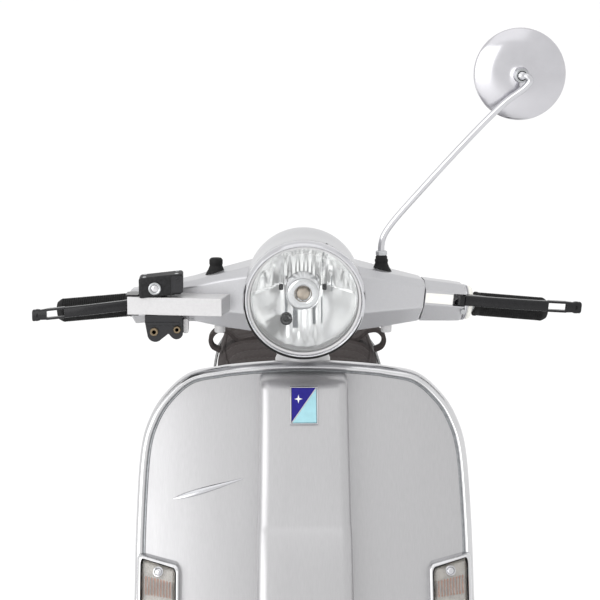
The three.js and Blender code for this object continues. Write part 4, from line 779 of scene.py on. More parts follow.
def ripple(u, v):
    """Moulded optics: broad upright flutes above, wide cells and a narrow fluted middle below."""
    x, fade = u * 73, min(1.0, (1 - min(1.0, math.hypot(u, v))) * 9)
    if v > 0.04:
        panel = -31 < x < 25
        return fade * (1.1 * math.cos(x * 2 * math.pi / (11 if panel else 21)) + (0 if panel else 1.6))
    if abs(x + 3) < 30:
        return fade * 0.9 * math.cos((x + 3) * 2 * math.pi / 15)
    return fade * (1.9 * math.cos((abs(x + 3) - 30) * math.pi / 34) - 1.2)


rows = []
for a in turning(180):
    uv = [(r * math.cos(a), r * math.sin(a)) for r in np.linspace(0.16, 1.0, 44)]
    rows.append([bowl(u, v) + LAMP_BACK * ripple(u, v) for u, v in uv] + [bowl(u, v) + LAMP_BACK * 4.5 for u,
        v in reversed(uv)])
make("lamp_reflector", loft(rows, closed=True), REFLECTOR, "steering", replaces=["headlamp_reflector"], angle=38)


def strip(x, z0, z1, w):
    rows = []
    for z in np.linspace(z0, z1, 12):
        c = bowl(x / 73, z / 73) + LAMP_BACK * (ripple(x / 73, z / 73) - 0.6)
        rows.append([c + X * s * w + LAMP_BACK * h for s, h in ((-1, 0), (1, 0), (1, 1.6), (-1, 1.6))])
    return loft(rows)


# Painted reflection: dark grey strips laid on the reflector's flutes stand in for the dark reflections seen in the
# bowl.
make("lamp_dark_reflection_strips", [strip(-24.4, -8, -46, 2.4), strip(-11.6, -14, -52, 3.4), strip(15.4, -14, -48, 3.4),
    strip(24.6, -14, -46, 1.0), strip(25.5, 64, 24, 0.9), strip(38, 18, -4, 0.8)], SPRING, "steering",
    slot="mirror_bowl")
shell_out = [(73.9, 1), (73.9, 6), (70, 24), (56, 48), (30, 68), (14, 73), (0, 73)]
shell_in = [(0, 70), (14, 69), (29, 64.5), (54, 46), (68, 23), (72, 6), (72, 1)]
make("lamp_bowl_shell", lathe(shell_out + shell_in, LAMP, LAMP_BACK, 96, closed=False), WHITE_PAINT, "steering")
BULB_AT = LAMP + X * -1.5 + LAMP_UP * 5
SHIELD_S = 14
make("bulb_shield", lathe([(10.5, -2), (12, -4.5), (16, -6), (21, -5), (23.4, -1), (23.4, 26), (21.6, 26), (21.4, 0),
    (18, -3), (13, -2.2), (11.4, 0)], BULB_AT + LAMP_BACK * SHIELD_S, LAMP_BACK, 72), TRIM, "steering",
    slot="mirror_bowl", angle=50)
make("bulb_tip", ball(BULB_AT + LAMP_BACK * (SHIELD_S + 2), 9.8, 0.8, LAMP_BACK), BULB, "steering")
legs = []
for a in (35, 155, 270):
    d = X * math.cos(rad(a)) + LAMP_UP * math.sin(rad(a))
    legs.append(sweep([BULB_AT + d * 21 + LAMP_BACK * (SHIELD_S + 8), BULB_AT + d * 26 + LAMP_BACK * (SHIELD_S + 24),
        BULB_AT + d * 24 + LAMP_BACK * (SHIELD_S + 42)], 1.4, 8))
make("bulb_shield_legs", legs, CHROME, "steering", slot="mirror_bowl")
clips = [prism("y", [(s * a, b) for a, b in round_rect(26.5, 32.5, -4, 4, 1.5, 2)], 0, 3) for s in (1, -1)]
clips = [(np.array([BULB_AT + X * v[0] + LAMP_UP * v[2] + LAMP_BACK * (v[1] + 40) for v in c[0]]), c[1])
    for c in clips]
make("lamp_clips", clips, BLACK, "steering")
pilot = LAMP + X * -24 - LAMP_UP * 38 + LAMP_BACK * 30
make("pilot_bulb", [ball(pilot, 5.2, 1.2, LAMP_BACK),
    lathe([(5.6, 0), (8.2, 0), (8.2, 8), (5.6, 8)], pilot, LAMP_BACK, 32)], GLOSS_BLACK, "steering",
    slot="mirror_bowl")

# ---------------------------------------------------------------- speedometer, key, switches
dress("speedometer", BLACK, 0.4)
make("speedometer_bezel", lathe([(37.5, 8.2), (38, 10.2), (40.5, 10.6), (44.2, 8.2), (44.5, 3.4), (44.3, 2.8),
    (43, 3)], SPEEDO, SPEEDO_AXIS, 96), CHROME, "steering", angle=50)
SPEEDO_U = X
SPEEDO_V = np.cross(SPEEDO_AXIS, X)


def on_dial(u, v, h):
    return SPEEDO + SPEEDO_U * u + SPEEDO_V * v + SPEEDO_AXIS * h


make("speedometer_face", lathe([(0, 8.3), (36.6, 8.3), (36.8, 8.6), (0, 8.7)], SPEEDO, SPEEDO_AXIS, 72, closed=False),
    DIAL, "steering")
marks = []
for k in range(25):
    a = rad(225 - 270 * k / 24)
    n0 = 27.0 if k % 2 else 24.5
    d, w = (math.cos(a), math.sin(a)), 0.35 if k % 2 else 0.6
    marks.append(loft([[on_dial(d[0] * r - d[1] * s * w, d[1] * r + d[0] * s * w, h) for s,
        h in ((-1, 8.7), (1, 8.7), (1, 9.0), (-1, 9.0))] for r in (n0, 30.5)]))
make("speedometer_marks", marks, DIAL_WHITE, "steering")
SEGMENTS = {0: "abcdef", 1: "bc", 2: "abged", 4: "fgbc", 6: "afgedc", 8: "abcdefg"}
LINES = {"a": (0, 2, 1, 2), "b": (1, 2, 1, 1), "c": (1, 1, 1, 0), "d": (0, 0, 1, 0), "e": (0, 0, 0, 1),
    "f": (0, 1, 0, 2), "g": (0, 1, 1, 1)}
digits = []
for k, number in enumerate((0, 20, 40, 60, 80, 100, 120)):
    a = rad(225 - 270 * k / 6)
    text = str(number)
    cu, cv = 18.8 * math.cos(a), 18.8 * math.sin(a)
    for i, ch in enumerate(text):
        u0 = cu + (i - len(text) / 2) * 3.1
        for seg in SEGMENTS[int(ch)]:
            x0, y0, x1, y1 = LINES[seg]
            p = on_dial(u0 + 2.1 * x0 + 0.4, cv - 2.1 + 2.1 * y0, 8.9)
            q = on_dial(u0 + 2.1 * x1 + 0.4, cv - 2.1 + 2.1 * y1, 8.9)
            digits.append(rod(p, q, 0.32, segs=6))
make("speedometer_digits", digits, DIAL_WHITE, "steering")
needle_dir = (math.cos(rad(225)), math.sin(rad(225)))
make("speedometer_needle", [loft([[on_dial(needle_dir[0] * r - needle_dir[1] * s * w,
    needle_dir[1] * r + needle_dir[0] * s * w, h) for s, h in ((-1, 9.3), (1, 9.3), (1, 9.8), (-1, 9.8))] for r,
    w in ((-6, 1.1), (25, 0.4))]), lathe([(0, 8.6), (3.6, 8.6), (3.6, 10), (2.6, 10.6), (0, 10.8)], SPEEDO,
    SPEEDO_AXIS, 32, closed=False)], RED, "steering")
make("speedometer_glass", lathe([(0, 12.6), (20, 12.2), (37.4, 10.0), (37.4, 9.6), (20, 11.6), (0, 12.0)], SPEEDO,
    SPEEDO_AXIS, 72, closed=False), GLASS, "steering", angle=60)
dress("ignition_key", STEEL, 0.5)
make("key_bow_cover", [lathe([(8.4, 8), (8.4, 12), (10.6, 14.5), (12, 14.5), (12, 8)], KEY, KEY_AXIS, 40)], CHROME,
    "steering")
for n in ("switch_housing_left", "switch_housing_right", "indicator_switch", "horn_button"):
    dress(n, BLACK, 0.9)
dress("starter_button", RED, 0.8)
make("switch_screws", [dome(P(s * 138 + dx, -236.2, z), Y, 2.4, 1.0, 20) for s in (1, -1) for dx in (-15, 15)
    for z in (984.5, 1007.5)], STEEL, "steering")


# ---------------------------------------------------------------- brake reservoir, lever block and clamp
def reservoir_z(x):
    return (x + 195) * 0.11


def tilted(outline_of, z, inset=0.0):
    return [P(x, y, z + reservoir_z(x)) for x, y in outline_of(inset)]


def lid(inset, r=4.5):
    return round_rect(-225 + inset, -165 - inset, -378 + inset, -341 - inset, max(r - inset, 0.8), 4)


tank_rows = [(1008, 2.4), (1009.5, 0.8), (1011, 0.2), (1033, 0), (1035, 1.0), (1036, 3)]
make("brake_reservoir", loft([tilted(lid, z, i) for z, i in tank_rows]), BLACK, "steering", slot="black_metal",
    replaces=["brake_master_cylinder"], angle=24)
screws = [dome(P(x, y, 1035.8 + reservoir_z(x)), Z, 2.8, 1.2, 20) for x,
    y in ((-217, -371), (-173, -348), (-217, -348), (-173, -371))]
make("reservoir_screws", screws, STEEL, "steering")
sight = P(-203, -378, 1019)
make("reservoir_sight_ring", lathe([(5.2, -1), (8.4, -1), (8.4, 1.8), (7.2, 2.6), (5.4, 1.8)], sight, -Y, 48), STEEL,
    "steering", slot="black_metal", angle=50)
make("reservoir_sight_glass", dome(sight, -Y, 5.5, 1.8, 32), BRUSHED, "steering")
make("reservoir_seam", [block((-180.4, -178.8), (-378.5, -340.6), (1011.5, 1034.5)),
    block((-179, -164.7), (-378.35, -377.8), (1013.5, 1036))], ANODISED, "steering", bevel=0.3)
make("lever_block_cover", loft([[P(x, y0, z), P(x, y1, z), P(x, y1, z + 24.4), P(x, y0, z + 24.4)] for x, y0, y1,
    z in ((-241, -370.4, -362.5, 981.8), (-111.8, -386.9, -378, 981.8))]), WHITE_PAINT, "steering", bevel=0.8)
make("lever_bracket", [prism("z", [(-243, -366), (-226, -368), (-222, -340), (-232, -336), (-243, -340)], z0, z1)
    for z0, z1 in ((979.5, 984), (1004.5, 1008.5))], GLOSS_BLACK, "steering", bevel=1.2)
make("reservoir_vent", lathe([(1.4, -1), (2.8, -1), (2.8, 0.8), (1.4, 0.8)], P(-172, -378.3, 1031), -Y, 24), ANODISED,
    "steering", slot="steel")
make("reservoir_neck", rod(P(-195, -352, 1003), P(-195, -352, 1014), 8.5), ANODISED, "steering")
clamp_shape = [(-217, 981.4), (-168, 981.4), (-165.5, 974), (-165.5, 958)] + arc(-174, 957, 9, 0, -140,
    7) + [(-185, 956)] + arc(-203, 955.5, 11, -40, -180, 8) + [(-217, 972)]
make("brake_clamp", [prism("y", clamp_shape, -376, -336),
    prism("y", [(-216, 968), (-170, 968), (-170, 972), (-216, 972)], -377.4, -376)], ANODISED, "steering", bevel=1.4,
    angle=24)


def socket_bolt(c, r, h):
    return lathe([(r * 0.5, h - 2.4), (r * 0.5, h - 0.2), (r * 0.62, h), (r * 0.86, h), (r, h - 0.9), (r, 0), (0, 0),
        (0, h - 2.4)], c, -Y, 36, closed=False)


make("clamp_bolts", [socket_bolt(P(-204.4, -376, 959), 5.6, 4.4), socket_bolt(P(-173.2, -376, 962), 5.2, 4.2)], BRASS,
    "steering", angle=40)
make("brake_pivot_bolt", [dome(P(-214.8, -352, 1006), Z, 5.4, 2.4, 32), dome(P(-214.8, -352, 982), -Z, 5.4, 2.4, 32)],
    STEEL, "steering")
make("clamp_saddle", prism("y", round_rect(-165, -158, 955, 975, 2, 3), -368, -340), WHITE_PAINT, "steering",
    bevel=0.8)

# ---------------------------------------------------------------- gear sleeve, grips and levers
BAR_O = bar_point(0)
BAR_TURN = Vector((1, 0, 0)).rotation_difference(Vector(unit(bar_point(1) - BAR_O))).to_matrix()
BAR_MATRIX = np.array(BAR_TURN)


def to_bar(part):
    return (np.array(part[0]) @ BAR_MATRIX.T) + BAR_O, part[1]


def sleeve_section(x, high, low, face_high, face_low, out):
    return [P(x, y, z) for y, z in ((-out, face_low), (-out, face_high), (-12, high), (12, high), (out, face_high),
        (out, face_low), (12, low), (-12, low))]


sleeve = make("gear_sleeve_body", to_bar(loft([sleeve_section(166, 30, -28, 19, -2, 32),
    sleeve_section(205.5, 28.2, -25, 17.8, -2, 31.4), sleeve_section(206, 28.2, -25, 17.8, -2, 31.4),
    sleeve_section(221, 27, -23.5, 17, -2, 31), sleeve_section(223.5, 25.5, -22, 16, -2, 29.4)])), PAINT, "gear",
    slot="plated_alloy", replaces=["gear_sleeve"], bevel=2.2, segs=3, angle=20)
carve(sleeve, to_bar(rod(P(150, 0, 0), P(260, 0, 0), 11.6)), to_bar(block((206, 250), (-50, -13), (-0.5, 16.5))))
make("gear_sleeve_face", to_bar(loft([[P(x, -o - 0.5, z) for z, o in ((1, 31.6), (15, 31.6))] +
    [P(x, -o + 0.6, z) for z, o in ((15, 31.6), (1, 31.6))] for x in (166.5, 205.2)])), CREAM, "gear", bevel=0.6)
ring = [lathe([(12.4, 0), (22.6, 0), (23.4, 0.8), (23.2, 4.6), (21.4, 6.6), (19, 7.4), (12.4, 7.4)], P(229.6, 0, 1),
    X, 80)]
make("gear_sleeve_ring", [to_bar(r) for r in ring], CREAM, "gear", angle=50)
make("gear_sleeve_band", to_bar(lathe([(12.4, -5.4), (24.4, -5.4), (25.2, -4.6), (25.2, -3.4), (23, -3), (23, -1.8),
    (24.6, -1.4), (24.4, -0.4), (12.4, 0)], P(229.4, 0, 1), X, 80)), CHROME, "gear", angle=50)
make("gear_sleeve_screw", to_bar(lathe([(0, 0), (3.8, 0), (4.2, -1), (4.2, -5), (0, -5)], P(222, -30, -8), -Y, 6,
    closed=False)), STEEL, "gear")
make("clutch_pivot_bolt", [to_bar(dome(P(219, -24, 16.2), Z, 5.2, 2.4, 32)),
    to_bar(dome(P(219, -24, -0.3), -Z, 5.2, 1.8, 32))], STEEL, "gear")


def grip(side, start, name, body, node):
    p0 = bar_point(side * start)
    d = bar_point(side * 343.6) - p0
    n = np.linalg.norm(d)
    profile = [(11.6, 0), (16.4, 0), (17, 0.8), (17, 4), (16.4, 5.2)]
    s = 7.0
    while s < n - 11:
        for r, k in ((16.2, 0.0), (16.2, 1.5), (15.2, 1.9), (15.2, 2.7)):
            profile.append((r, s + k))
        s += 3.1
    profile += [(16.2, n - 10), (16.4, n - 9), (15.6, n - 6), (12.6, n - 1.4), (11, n - 0.6), (0, n - 0.6)]

    def wave(t, k):
        return 0.35 * math.cos(24 * t) if 5 < k < len(profile) - 4 else 0.0

    make(name, lathe(profile + [(0, n - 3.2), (11.6, n - 3.2)], p0, d, 96, closed=True, wave=wave), RUBBER, body,
        replaces=[node], angle=30)


grip(-1, 238, "throttle_grip_rubber", "throttle", "throttle_grip")
grip(1, 238.8, "left_grip_rubber", "gear", "left_grip")


def lever_parts(reach, drop, sweep_by):
    """Lever blade with a through slot near its ball, in the pivot's own frame, pointing along +X."""
    def at(x, y, z):
        return P(x, y + sweep_by * (x / reach), z - drop * x)

    def section(x, y0, y1, h, z0=0.0, r=2.6):
        return [at(x, y, z0 + z) for y, z in round_rect(y0, y1, -h, h, min(r, h * 0.6), 3)]

    def edges(x):
        front = np.interp(x, [0, 12, 34, reach * 0.6, reach], [-9, -9.5, -14, -21, -22])
        rear = np.interp(x, [0, 14, 34, reach * 0.6, reach], [9, 8, -3, -11, -12])
        return front, rear

    s0, s1 = reach - 36, reach - 11
    parts = [loft([section(x, *edges(x), 7.2) for x in [4, 9, 14, 20, 27, 34, 48, 64, 82, 98, s0 - 4, s0]])]
    for z0 in (6.2, -6.2):
        parts.append(loft([section(x, *edges(x), 1.5, z0, 1.0) for x in (s0 - 0.5, s0 + 7, s0 + 14, s1 + 0.5)]))
    parts.append(loft([section(x, *edges(x), h) for x, h in ((s1, 7.6), (s1 + 7, 7.2), (reach, 6.6),
        (reach + 4, 4.8))]))
    parts.append(rod(P(0, 0, -7), P(0, 0, 7), 9, segs=40))
    tip = [section(x, *edges(x), h, 0, 3.2) for x, h in ((reach - 2, 7.4), (reach + 1, 8.2), (reach + 4.4, 8.3),
        (reach + 5.2, 7.6), (reach + 6, 8.2), (reach + 8.4, 7.8), (reach + 9.4, 6.4))]
    parts.append(loft(tip))
    return parts


make("clutch_lever_blade", [to_bar(moved(p, (219, -24, 8))) for p in lever_parts(152, -0.05, -16)], GLOSS_BLACK,
    "clutch", replaces=["clutch_lever"], bevel=0.5, angle=40)
make("brake_lever_blade", [moved(mirrored(p), (-214.8, -352, 995.5)) for p in lever_parts(150, 0.13, 30)],
    GLOSS_BLACK, "brake_lever", replaces=["front_brake_lever"], bevel=0.5, angle=40)

# ---------------------------------------------------------------- mirror
MIRROR, BALL = P(298, -302, 1304), P(298, -330, 1304)
path = curve_points([(109, -305, 1024), (109, -305, 1048), (109, -305, 1068), (114, -305, 1084), (169, -313, 1152),
    (274, -328, 1266), (304, -333, 1290), (309, -334, 1298), (305, -333, 1303), (300, -331, 1304)], 140)
make("mirror_stalk_tube", [sweep(path, 4.6, 20), ball(BALL, 6.8)], CHROME, "mirror_arm", replaces=["mirror_stalk"],
    angle=50)
make("stalk_nut", lathe([(4.9, 0), (8, 0), (8, 5), (7, 6), (4.9, 6)], P(109, -305, 1053.4), Z, 6), STEEL,
    "mirror_arm", bevel=0.4)
back = [(8.6, -20.5), (10.2, -19), (11, -15.5), (15, -13.7)] + [(r, -13.6 + 14.4 * (r / 63.4) ** 3.4)
    for r in np.linspace(19, 60.5, 26)]
make("mirror_back", lathe(back + [(62.6, 0.2), (63.5, 2.2), (63.3, 5), (61.8, 6), (60.6, 5.6), (60.2, 4.2),
    (8.6, -8)], MIRROR, Y, 128), SATIN, "mirror", replaces=["mirror_head"], angle=40)
make("mirror_ball_cap", [lathe([(7.4, -6), (9.4, -5.4), (9.8, -3), (9.8, 4), (8.2, 6), (7.4, 6)], BALL + Y * 4, Y,
    48), lathe([(6.9, -3.4), (8, -3.4), (8.6, -1), (6.9, -1)], BALL, Y, 40)], STEEL, "mirror", angle=50)
make("mirror_glass", lathe([(0, 4.2), (60.1, 4.2), (60.1, 5.0), (0, 5.2)], MIRROR, Y, 96, closed=False), MIRROR_GLASS,
    "mirror")


# ---------------------------------------------------------------- rear frame
# (y, z) of axes and eyes that several pieces share
SWING_PIVOT, KICK_AXLE = (345, 270), (470, 215)
FORK_FOOT, FRONT_TOP, FRONT_EYE = (-735, 236), (-545, 405), (-648, 226)
REAR_TOP, REAR_EYE, FAN_CENTRE = (655, 520), (640, 302), (470, 312)
FORK_BEND = [(-10, -511, 433), (-34, -514, 420), (-56, -522, 400), (-66, -540, 372), (-68, -600, 322),
    (-68, -690, 262), (-68, *FORK_FOOT)]
FRAME_ROWS = [(128, 98, 690), (150, 108, 712), (200, 116, 722), (480, 122, 722), (600, 120, 706), (720, 108, 664),
    (800, 92, 626), (850, 78, 600)]


def frame_half(y):
    return float(np.interp(y, [r[0] for r in FRAME_ROWS], [r[1] for r in FRAME_ROWS]))


def frame_ring(y, w, top, inset, base):
    half, roof, r = w - inset, top - inset, 34 - inset
    side = [(half, base), (half, (base + roof - r) / 2)] + [(half - r + r * math.cos(a), roof - r + r * math.sin(a))
        for a in np.linspace(0, math.pi / 2, 9)]
    side += [(half * 0.35, roof + (1.2 if y > 500 else 0))]
    return [P(x, y, z) for x, z in side + [(-x, z) for x, z in reversed(side)]]


def frame_shell(inset, base, y0, y1):
    rows = smooth_rows([frame_ring(y0 + (y - 128) * (y1 - y0) / 722, w, t, inset, base) for y, w, t in FRAME_ROWS],
        56)
    return loft(rows)


rear = make("rear_frame_shell", frame_shell(0, 289, 128, 850), PAINT, "frame", replaces=["rear_frame"], bevel=1.0,
    angle=50)
carve(rear, frame_shell(3, 270, 131, 847))
carve(rear, block((-200, 200), (395, 725), (200, 430)))
carve(rear, block((-200, 200), (724, 900), (200, 400)))
carve(rear, block((-80, 80), (190, 450), (690, 760)))
ears = [prism("x", [(313, 240), (377, 240), (377, 344), (313, 344)], s * 112.6, s * 119) for s in (-1, 1)]
ear = make("swing_ears", ears, PAINT, "frame", bevel=2.2)
carve(ear, rod(P(-140, *SWING_PIVOT), P(140, *SWING_PIVOT), 25, segs=48))
make("swing_bushes", [lathe([(22.4, -4), (31, -4), (32, -3), (32, 3), (31, 4), (22.4, 4)], P(s * 119, *SWING_PIVOT),
    X, 48) for s in (-1, 1)], STEEL, "frame", angle=40)
make("seat_hinge_knuckles", [rod(P(s * 18.5, 113, 729), P(s * 38, 113, 729), 6) for s in (-1, 1)] +
    [prism("x", [(108, 729), (118, 732), (134, 690), (128.5, 676)], s * 18.5, s * 38) for s in (-1, 1)], STEEL,
    "frame", bevel=0.6)
make("seat_hinge_pin", [dome(P(s * 38, 113, 729), X * s, 4.6, 1.8, 24) for s in (-1, 1)], STEEL, "frame")
make("rear_shock_mount", [rod(P(-120, *REAR_TOP), P(-106.6, *REAR_TOP), 7),
    rod(P(-121, *REAR_TOP), P(-118, *REAR_TOP), 22)], STEEL, "frame", bevel=0.8)
frame_seam = [P(frame_half(y) + 0.2, y, 300) for y in range(140, 392, 12)]
make("frame_hem", [sweep(frame_seam, 1.8, 10), mirrored(sweep(frame_seam, 1.8, 10))], PAINT, "frame")
make("tunnel_bolts", [dome(P(s * x, 128.3, z), -Y, 5.2, 2.6, 24) for s in (-1, 1) for x,
    z in ((70, 420), (70, 560), (30, 640))], STEEL, "frame")

# ---------------------------------------------------------------- side cowls
EDGE = curve_points([(140, 560, 0), (300, 622, 0), (520, 636, 0), (680, 610, 0), (800, 556, 0)], 60)
HEM = curve_points([(140, 330, 0), (260, 276, 0), (520, 266, 0), (690, 292, 0), (800, 380, 0)], 60)


def cowl_point(side, u, v, inset):
    y = 140 + 660 * u
    bulge = 144 * math.sin(math.pi * (0.04 + 0.92 * u)) ** 0.75
    top, low = np.interp(u, np.linspace(0, 1, 61), EDGE[:, 1]), np.interp(u, np.linspace(0, 1, 61), HEM[:, 1])
    out = bulge * math.sin(math.pi * 0.74 * v ** 0.8)
    return P(side * (frame_half(y) + 3.5 + out - inset * (0.25 + 0.75 * min(1, v * 4))), y,
        top + (low - top) * v - inset * (1 - v) * 0.9)


def cowl_normal(side, u, v):
    a = cowl_point(side, min(u + 0.01, 1), v, 0) - cowl_point(side, max(u - 0.01, 0), v, 0)
    b = cowl_point(side, u, min(v + 0.02, 1), 0) - cowl_point(side, u, max(v - 0.02, 0), 0)
    n = unit(np.cross(a, b))
    return n if n[0] * side > 0 else -n


def cowl_grid(side, inset):
    return [[cowl_point(side, u, v, inset) for v in np.linspace(0, 1, 25)] for u in np.linspace(0, 1, 61)]


for side, word in SIDES:
    make("cowl_" + word, skin(cowl_grid(side, 0), cowl_grid(side, 2.6)), PAINT, "frame",
        replaces=["side_cowl_" + word], bevel=0.8, angle=60)
    hem = [cowl_point(side, u, 1.0, 1.3) for u in np.linspace(0.01, 0.99, 70)]
    make("cowl_hem_" + word, sweep(hem, 2.4, 12), TRIM, "frame")
    gasket = [cowl_point(side, u, 0.0, 1.2) + P(0, 0, 0.4) for u in np.linspace(0.01, 0.99, 70)]
    make("cowl_gasket_" + word, sweep(gasket, 2.0, 10), RUBBER, "frame")
    spear = [cowl_point(side, u, 0.40 + 0.05 * math.sin(u * 3.1), 0) + cowl_normal(side, u, 0.42) * 0.8
        for u in np.linspace(0.12, 0.88, 60)]
    wide = [0.4 + 3.4 * math.sin(math.pi * t) ** 0.35 for t in np.linspace(0.02, 0.98, 60)]
    make("cowl_strip_" + word, sweep(spear, wide, 14), TRIM, "frame")

louvres, louvre_shadows = [], []
for i in range(7):
    for band in (0.62, 0.74):
        u = 0.36 + i * 0.045
        centre, n = cowl_point(-1, u, band, 0), cowl_normal(-1, u, band)
        down = unit(cowl_point(-1, u, band + 0.03, 0) - cowl_point(-1, u, band - 0.03, 0))
        along = unit(np.cross(n, down))
        rows = []
        for t in np.linspace(-1, 1, 11):
            lift = 5.0 * max(0.0, 1 - t * t) ** 0.5
            c = centre + down * t * 19
            rows.append([c + along * a * 6.5 + n * (h * lift - 1.0) for a,
                h in ((-1, 0), (-0.5, 0.8), (0.2, 1.1), (1, 1.15), (1, 0))])
        louvres.append(loft(rows))
        # Painted shade: black sheets across the open end of each louvre stand in for the shade inside it.
        louvre_shadows.append(loft([[centre + down * t * 15 + along * 6.7 + n * h
            for h in (0.2, 3.8 * max(0.0, 1 - t * t) ** 0.5 + 0.3)] +
            [centre + down * t * 15 + along * 5.9 + n * h for h in (3.8 * max(0.0, 1 - t * t) ** 0.5 + 0.3, 0.2)]
            for t in np.linspace(-0.95, 0.95, 9)]))
make("cowl_louvres", louvres, PAINT, "frame", angle=50)
make("cowl_louvre_shade", louvre_shadows, BLACK, "frame")
make("cowl_latch", rod(P(140, 330, 600), P(150, 330, 598), 7), STEEL, "frame", bevel=0.8)

# ---------------------------------------------------------------- fuel tank and cap
dress("fuel_tank", GLOSS_BLACK, bevel=4.0, segs=4, angle=40)
make("tank_screws", [dome(P(s * 78, y, 726), Z, 4.2, 2.2, 24) for s in (-1, 1) for y in (200, 320, 440)], STEEL,
    "frame")


def cap_wave(t, k):
    return 0.8 * math.cos(18 * t) if 2 <= k <= 5 else 0.0


make("fuel_cap_body", [lathe([(0, 0), (31, 0), (33.2, 1.6), (33.6, 3), (33.6, 8.6), (32.4, 10.6), (29, 11.6),
    (18, 12.2), (0, 12.4)], P(0, 240, 738.4), Z, 108, closed=False, wave=cap_wave),
    block((-23, 23), (236.6, 243.4), (749.6, 752))], BLACK, "cap", replaces=["fuel_cap"], angle=40)

# ---------------------------------------------------------------- rear lights and plate bracket


def y_ring(x0, x1, z0, z1, r, y, grow):
    return [P(x, y, z) for x, z in round_rect(x0 - grow, x1 + grow, z0 - grow, z1 + grow, r + grow * 0.5, 7)]


make("tail_light_base", loft([y_ring(-46, 46, 548, 596, 10, y, g) for y,
    g in ((847, 4.4), (850.6, 5.4), (853, 5.6), (856, 4.4), (857, 2))]), CHROME, "frame", angle=50)
make("tail_light_lens", loft([y_ring(-46, 46, 548, 596, 10, y, g) for y,
    g in ((854, 1.2), (866, 1.6), (874, 0), (879, -3), (881.6, -8), (882, -14))]), RED, "frame",
    replaces=["tail_light"], angle=60)
make("tail_light_ribs", [block((x - 0.7, x + 0.7), (879, 882.1), (560, 584)) for x in range(-30, 31, 6)], RED,
    "frame", bevel=0.3)
make("tail_light_screws", [dome(P(s * 37, 876, 572), Y, 3.2, 3.4, 24) for s in (-1, 1)], STEEL, "frame")
dress("plate_bracket", ANODISED, bevel=0.8)
make("plate_blank", prism("y", round_rect(-80, 80, 408, 524, 6, 6), 858.2, 859.4), DIAL_WHITE, "frame", bevel=0.3)
make("plate_bolts", [dome(P(s * 40, 859.4, z), Y, 5, 2.4, 24) for s in (-1, 1) for z in (440, 500)], STEEL, "frame")

for side, word in SIDES:
    def x_ring(x, grow):
        return [P(side * x, y, z) for y, z in round_rect(772 - grow, 828 + grow, 570 - grow, 614 + grow, 8, 6)]
    make("rear_indicator_body_" + word, [loft([x_ring(x, g) for x,
        g in ((104, -7), (106, -3), (116, 0.4), (121, 0.8), (122, -0.6))]),
        rod(P(side * 95, 800, 592), P(side * 110, 800, 592), 7)], CHROME, "frame", angle=40)
    make("rear_indicator_lens_" + word, loft([x_ring(x, g) for x,
        g in ((121.6, -0.8), (134, -0.4), (138.6, -2.4), (141.2, -6), (142, -12))]), AMBER, "frame",
        replaces=["rear_indicator_" + word], angle=60)
    make("rear_indicator_screw_" + word, dome(P(side * 140.6, 814, 592), X * side, 2.8, 2, 20), STEEL, "frame")

# ---------------------------------------------------------------- glovebox and head tube
TILT_C, TILT_S = math.cos(rad(27)), math.sin(rad(27))


def to_glove(part):
    v = np.array(part[0], float)
    return np.stack([v[:, 0], -414.4 + v[:, 1] * TILT_C + v[:, 2] * TILT_S,
        705 - v[:, 1] * TILT_S + v[:, 2] * TILT_C], axis=1), part[1]


dress("glovebox", BLACK, bevel=3.5, segs=3)
dress("glovebox_door", BLACK, bevel=2.0, segs=3)
panel = loft([[P(x, y, z) for x, z in round_rect(-138 + i, 138 - i, -104 + i, 92 - i, 12, 6)] for y,
    i in ((126.2, 0), (127.6, 1.2), (127.9, 3), (127.9, 8))])
make("glovebox_door_panel", to_glove(panel), BLACK, "glove_door", angle=60)
make("glovebox_door_ribs", [to_glove(block((-120, 120), (127.6, 128.8), (z - 1.2, z + 1.2)))
    for z in range(-84, 80, 14)], BLACK, "glove_door", bevel=0.5)
make("glovebox_lock", [to_glove(lathe([(0, 0), (9, 0), (9, 2.6), (7.6, 3.6), (3, 3.6), (0, 3.4)], P(0, 126.4, 104), Y,
    40, closed=False)), to_glove(block((-0.8, 0.8), (129.6, 130.2), (100, 108)))], CHROME, "glove_door", angle=40)
dress("head_tube", PAINT, bevel=0.8, angle=50)
make("bag_hook", [sweep(curve_points([(0, -286, 706), (0, -272, 704), (0, -262, 694), (0, -266, 680), (0, -276, 678)],
    24), 3.2, 12)], CHROME, "glove_door")

# ---------------------------------------------------------------- seat
SEAT_ROWS = [(92, 90, -7), (100, 108, 0), (112, 122, 5), (200, 133, 8), (340, 143, 8), (430, 142, 9), (520, 140, 14),
    (600, 132, 20), (640, 126, 22), (680, 112, 18), (694, 98, 10), (700, 84, 2)]
SEAT_BASE, SEAT_TOP, STRAP_Y = 757.6, 799, 350


def seat_line(y, column):
    """Half width (column 1) or rise (column 2) of the seat at y."""
    return float(np.interp(y, [r[0] for r in SEAT_ROWS], [r[column] for r in SEAT_ROWS]))


def seat_row(y, w, rise, shrink):
    high, out = SEAT_TOP + rise - SEAT_BASE - shrink, []
    for t in np.linspace(0, math.pi, 33):
        c, s = math.cos(t), math.sin(t)
        x = (w - shrink) * math.copysign(abs(c) ** 0.48, c)
        pull = 4.0 * math.sin(math.pi * min(1, s * 1.1)) * abs(c) ** 2
        out.append(P(x - math.copysign(pull, c), y, SEAT_BASE + high * abs(s) ** 0.62))
    return out


seat_rows = smooth_rows([seat_row(y, w, r, 2.2) for y, w, r in SEAT_ROWS], 90, 0.5)
cushion = make("seat_cushion_cover", loft(seat_rows), VINYL, "seat", angle=70)
remesh = cushion.modifiers.new("remesh", "REMESH")
remesh.mode, remesh.voxel_size = "VOXEL", 0.0055
remesh.use_smooth_shade = True


def bake(obj):
    bpy.context.view_layer.update()
    data = bpy.data.meshes.new_from_object(obj.evaluated_get(bpy.context.evaluated_depsgraph_get()))
    obj.modifiers.clear()
    obj.data = data


